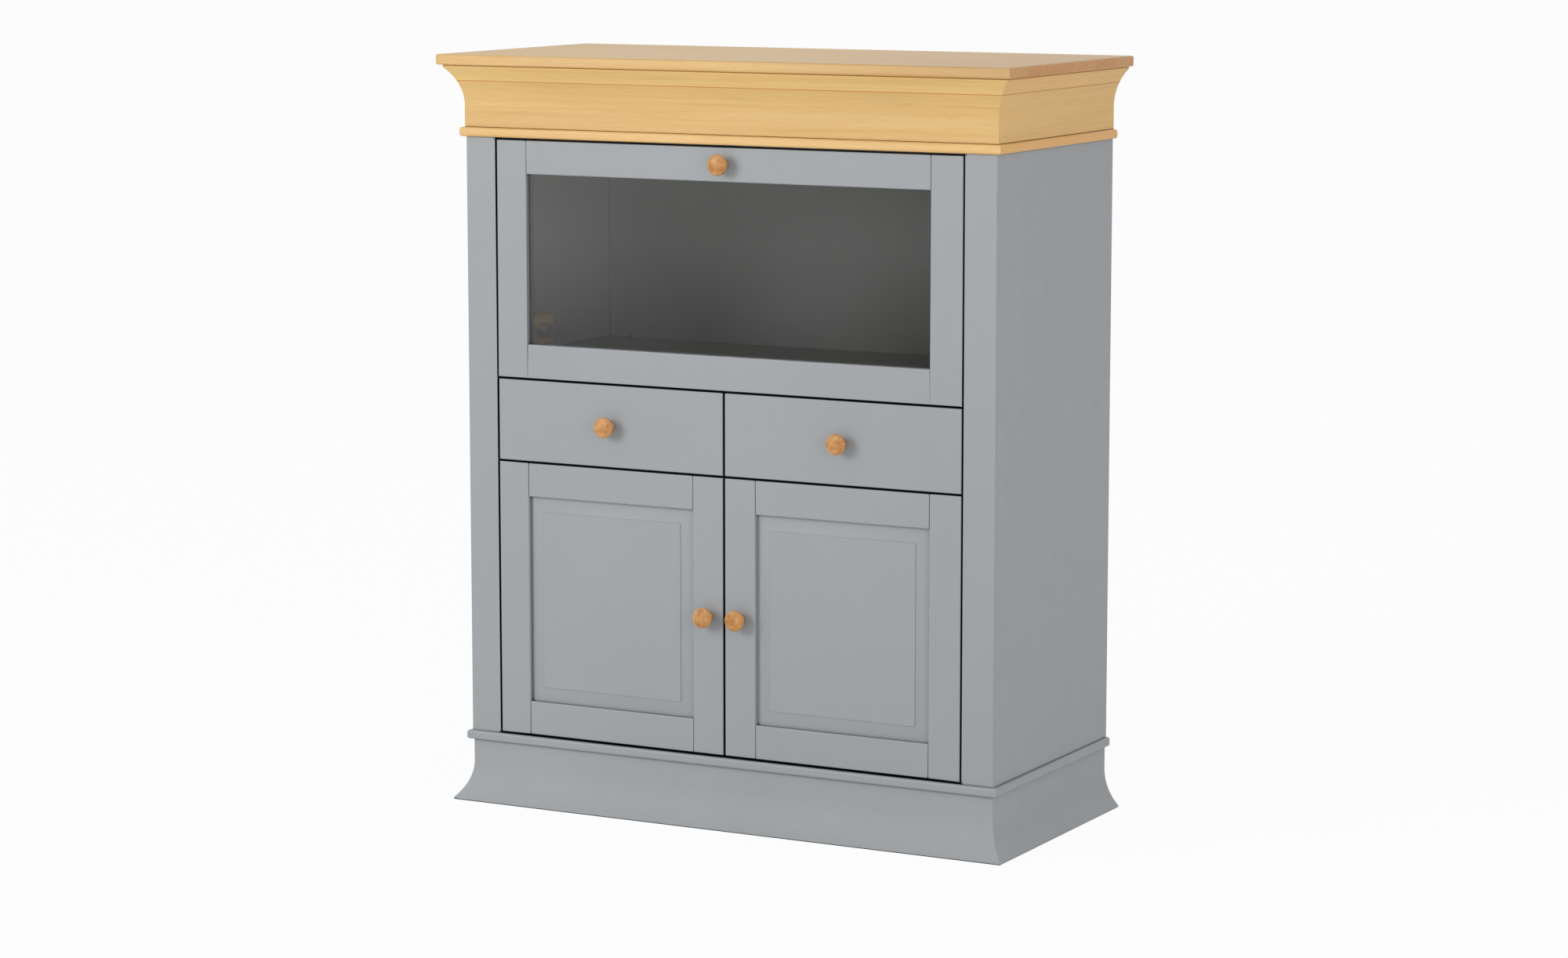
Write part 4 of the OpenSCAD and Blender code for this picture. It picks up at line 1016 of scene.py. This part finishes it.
SCREW_TEMPLATE = [
    (0, -SHANK_LONG), (SHANK_RADIUS, -SHANK_LONG + 3), (SHANK_RADIUS, SEAT),
    (HEAD_RADIUS, SEAT), (HEAD_RADIUS, 0.5 * HEAD_RISE), (0.86 * HEAD_RADIUS, 0.84 * HEAD_RISE),
    (0.5 * HEAD_RADIUS, HEAD_RISE), (0, HEAD_RISE),
]


def cross_recess(tree, shape):
    """Cuts a cross into the top of a turned head."""
    bars = []
    for size in ((CROSS_LONG, CROSS_WIDE), (CROSS_WIDE, CROSS_LONG)):
        bar = step(tree, "GeometryNodeMeshCube", {"Size": (*size, 2 * CROSS_DEEP)}).outputs[0]
        inputs = {"Geometry": bar, "Translation": (0, 0, HEAD_RISE)}
        bars.append(step(tree, "GeometryNodeTransform", inputs).outputs[0])
    cut = step(tree, "GeometryNodeMeshBoolean", operation="DIFFERENCE")
    tree.links.new(shape, cut.inputs["Mesh 1"])
    for bar in bars:
        tree.links.new(bar, cut.inputs["Mesh 2"])
    return cut.outputs["Mesh"]


cross_screw = on_points_recipe(
    "cross_head_screw", SCREW_TEMPLATE, SCREW_RINGS, SCREW_SIDES, cross_recess
)


def screws(name, body, places, aims, size=1.0, seed=3, replaced=()):
    """One mesh of screws for one body, with one aim for all or a list of aims."""
    aims = aims if isinstance(aims, list) else [aims] * len(places)
    start = points_mesh(name, places, aims)
    mesh = run_recipe(
        cross_screw, name, start, finishes["steel"], size=size * MM, spin=2 * math.pi, seed=seed
    )
    print(name, len(places), "screws,", len(mesh.polygons), "faces")
    return place_piece(name, mesh, finishes["steel"], body, "steel", *replaced)


print("screw recipe ready")

# %% [markdown]
# The screws that the solids already have keep their places: their heads' middles are read
# from the solids' loose parts. The smaller screws of the cups, strikes, stays and catches
# are set out from each fitting's own box.

# %% Places of the screws
HEAD_UNDER_TOP = 2.0 * MM
CUP_LEAST_TALL = 50 * MM
CUP_SCREW_OUT = 24 * MM


def solids_of(node):
    """Boxes of the separate solids in a node, as (low, high)."""
    work = merged_copy(frame["nodes"][node].data)
    boxes = [box for solid, box in separate_solids(work)]
    work.free()
    return sorted(boxes, key=lambda pair: tuple(pair[0]))


hinge_places, hinge_aims = [], []
for low, high in solids_of("hinge_screws"):
    side, middle = (1 if low.x > 0 else -1), (low + high) / 2
    face = (low.x if side > 0 else high.x) + side * HEAD_UNDER_TOP
    hinge_places.append((face, middle.y, middle.z))
    hinge_aims.append((-side, 0, 0))
screws("hinge_plate_screws", "cabinet", hinge_places, hinge_aims, replaced=["hinge_screws"])

back_places = []
for low, high in solids_of("back_screws"):
    middle = (low + high) / 2
    back_places.append((middle.x, high.y - HEAD_UNDER_TOP, middle.z))
screws("back_panel_screws", "cabinet", back_places, (0, 1, 0), seed=5, replaced=["back_screws"])

for side in ("left", "right"):
    cup_places = []
    for low, high in solids_of(f"{side}_hinge_cups"):
        if high.z - low.z < CUP_LEAST_TALL:
            continue
        middle = (low + high) / 2
        for up in (-CUP_SCREW_OUT, CUP_SCREW_OUT):
            cup_places.append((middle.x, high.y, middle.z + up))
    screws(f"{side}_cup_screws", f"{side}_door", cup_places, (0, 1, 0), size=0.9, seed=7)

# %% [markdown]
# The strikes are thin and the catches nearly touch them, so their screws are sunk until
# only the cross shows. The stay's plates and brackets have ordinary pan heads, and the
# catches are screwed from below to the board over them.

# %% Screws of the strikes, stays and catches
PLATE = 2.0 * MM
SUNK = 1.04 * MM
STRIKE_SCREW, STAY_SCREW, CATCH_SCREW = 0.6, 0.82, 0.75
STRIKE_INSET, CATCH_INSET = 5 * MM, 5 * MM
STAY_PLATE_INSET, BRACKET_INSET = 3.5 * MM, 6 * MM


def pair_on(low, high, axis, level, along, inset):
    """Two places on a plate's face: level on one axis, in from both ends of another."""
    places = []
    for end in (low[along] + inset, high[along] - inset):
        place = (low + high) / 2
        place[axis] = level
        place[along] = end
        places.append(place)
    return places


for node in [name for name in slot_of if name.endswith("_strike")]:
    low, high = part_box(node)
    places = pair_on(low, high, 1, high.y - SUNK, 0, STRIKE_INSET)
    screws(node + "_screws", body_of[node], places, (0, 1, 0), size=STRIKE_SCREW, seed=11)

plate_places, plate_aims = [], []
for low, high in solids_of("stay_plates"):
    side = 1 if low.x > 0 else -1
    level = high.x - PLATE if side > 0 else low.x + PLATE
    plate_places += pair_on(low, high, 0, level, 1, STAY_PLATE_INSET)
    plate_aims += [(-side, 0, 0)] * 2
screws("stay_plate_screws", "cabinet", plate_places, plate_aims, size=STAY_SCREW, seed=13)

bracket_places = []
for low, high in solids_of("stay_brackets"):
    bracket_places += pair_on(low, high, 1, low.y + PLATE, 2, BRACKET_INSET)
screws("stay_bracket_screws", "flap", bracket_places, (0, 1, 0), size=STAY_SCREW, seed=17)

catch_places = []
for low, high in solids_of("magnet_catches"):
    catch_places += pair_on(low, high, 2, low.z, 0, CATCH_INSET)
screws("catch_screws", "cabinet", catch_places, (0, 0, -1), size=CATCH_SCREW, seed=19)

# %% [markdown]
# Each catch holds its magnet between two steel pole plates, which stand a tenth of a
# millimetre over its front so that the strike meets steel and not plastic.

# %% Pole plates of the catches
POLE_PROUD = 0.1 * MM
POLE_DEEP = 1.5 * MM
POLE_THICK = 1.4 * MM
POLE_EASING = 0.08 * MM
POLE_INSET = 8 * MM
POLE_HEIGHTS = (2.6 * MM, 8.0 * MM)


def pole_plates():
    """Two thin steel plates in the front of every catch, as one mesh."""
    work = bmesh.new()
    for low, high in solids_of("magnet_catches"):
        for up in POLE_HEIGHTS:
            near = Vector((low.x + POLE_INSET, low.y - POLE_PROUD, low.z + up))
            far = Vector((high.x - POLE_INSET, low.y + POLE_DEEP, low.z + up + POLE_THICK))
            for corner in bmesh.ops.create_cube(work, size=1.0)["verts"]:
                corner.co = (near + far) / 2 + corner.co * (far - near)
    bmesh.ops.bevel(
        work, geom=list(work.edges), offset=POLE_EASING, segments=2, profile=0.5, affect="EDGES"
    )
    return finish_mesh(work, "catch_pole_plates")


place_piece("catch_pole_plates", pole_plates(), finishes["steel"], "cabinet", "steel")
print("pole plates done")

# %% [markdown]
# ## Floor and light
# The photograph is a cut-out on white, lit softly from the upper left. A pale floor and a
# pale surround show as white to the camera, to gloss and through glass, while the light
# they throw on the cabinet stays at a plain level. One large soft lamp at the upper left
# gives the fall of light over the front and leaves the right side a step darker. A weak one
# at the right lifts that side a little.

# %% Floor, surround and lamps
FLOOR_HALF = 90.0
FLOOR_COLOUR = (0.83, 0.83, 0.83, 1)
FLOOR_WHITENESS = 0.95
SURROUND_LIGHT = 0.57
LAMP_AIM = (0.0, 0.0, 0.65)
LAMPS = {  # place, size, power
    "left_lamp": ((-2.2, -3.9, 2.15), 2.0, 72.0),
    "right_fill_lamp": ((2.4, -1.9, 1.15), 1.6, 11.0),
}


def seen_directly(tree):
    """1 for what the camera sees, also in gloss and through glass; 0 for light on surfaces."""
    rays = step(tree, "ShaderNodeLightPath").outputs
    seen = maths(tree, "MAXIMUM", rays["Is Camera Ray"], rays["Is Glossy Ray"])
    return maths(tree, "MAXIMUM", seen, rays["Is Transmission Ray"])


def pale_floor():
    """A matt floor that shows nearly white."""
    mesh = bpy.data.meshes.new("floor")
    signs = ((-1, -1), (1, -1), (1, 1), (-1, 1))
    corners = [(x * FLOOR_HALF, y * FLOOR_HALF, 0) for x, y in signs]
    mesh.from_pydata(corners, [], [(0, 1, 2, 3)])
    floor = linked("floor", mesh)
    material = bpy.data.materials.new("pale_floor")
    material.use_nodes = True
    tree = material.node_tree
    tree.nodes.clear()
    matt = step(tree, "ShaderNodeBsdfDiffuse", {"Color": FLOOR_COLOUR}).outputs[0]
    white = step(tree, "ShaderNodeEmission", {"Strength": 1.0}).outputs[0]
    share = maths(tree, "MULTIPLY", seen_directly(tree), FLOOR_WHITENESS)
    mixed = step(tree, "ShaderNodeMixShader", {0: share, 1: matt, 2: white}).outputs[0]
    tree.links.new(mixed, step(tree, "ShaderNodeOutputMaterial").inputs[0])
    mesh.materials.append(material)


def pale_surround():
    """A plain world that shows white and lights the cabinet less."""
    world = bpy.data.worlds.new("pale_surround")
    scene.world = world
    world.use_nodes = True
    tree = world.node_tree
    tree.nodes.clear()
    strength = span(tree, seen_directly(tree), 0, 1, SURROUND_LIGHT, 1.0)
    surround = step(tree, "ShaderNodeBackground", {"Color": (1, 1, 1, 1), "Strength": strength})
    tree.links.new(surround.outputs[0], step(tree, "ShaderNodeOutputWorld").inputs[0])


def soft_lamp(name, place, size, power):
    """A square area lamp that shines from its place towards the cabinet."""
    data = bpy.data.lights.new(name, "AREA")
    data.shape = "SQUARE"
    data.size = size
    data.energy = power
    lamp = linked(name, data)
    lamp.location = place
    direction = Vector(LAMP_AIM) - Vector(place)
    lamp.rotation_euler = direction.to_track_quat("-Z", "Y").to_euler()


pale_floor()
pale_surround()
for name, settings in LAMPS.items():
    soft_lamp(name, *settings)
print("stage ready")
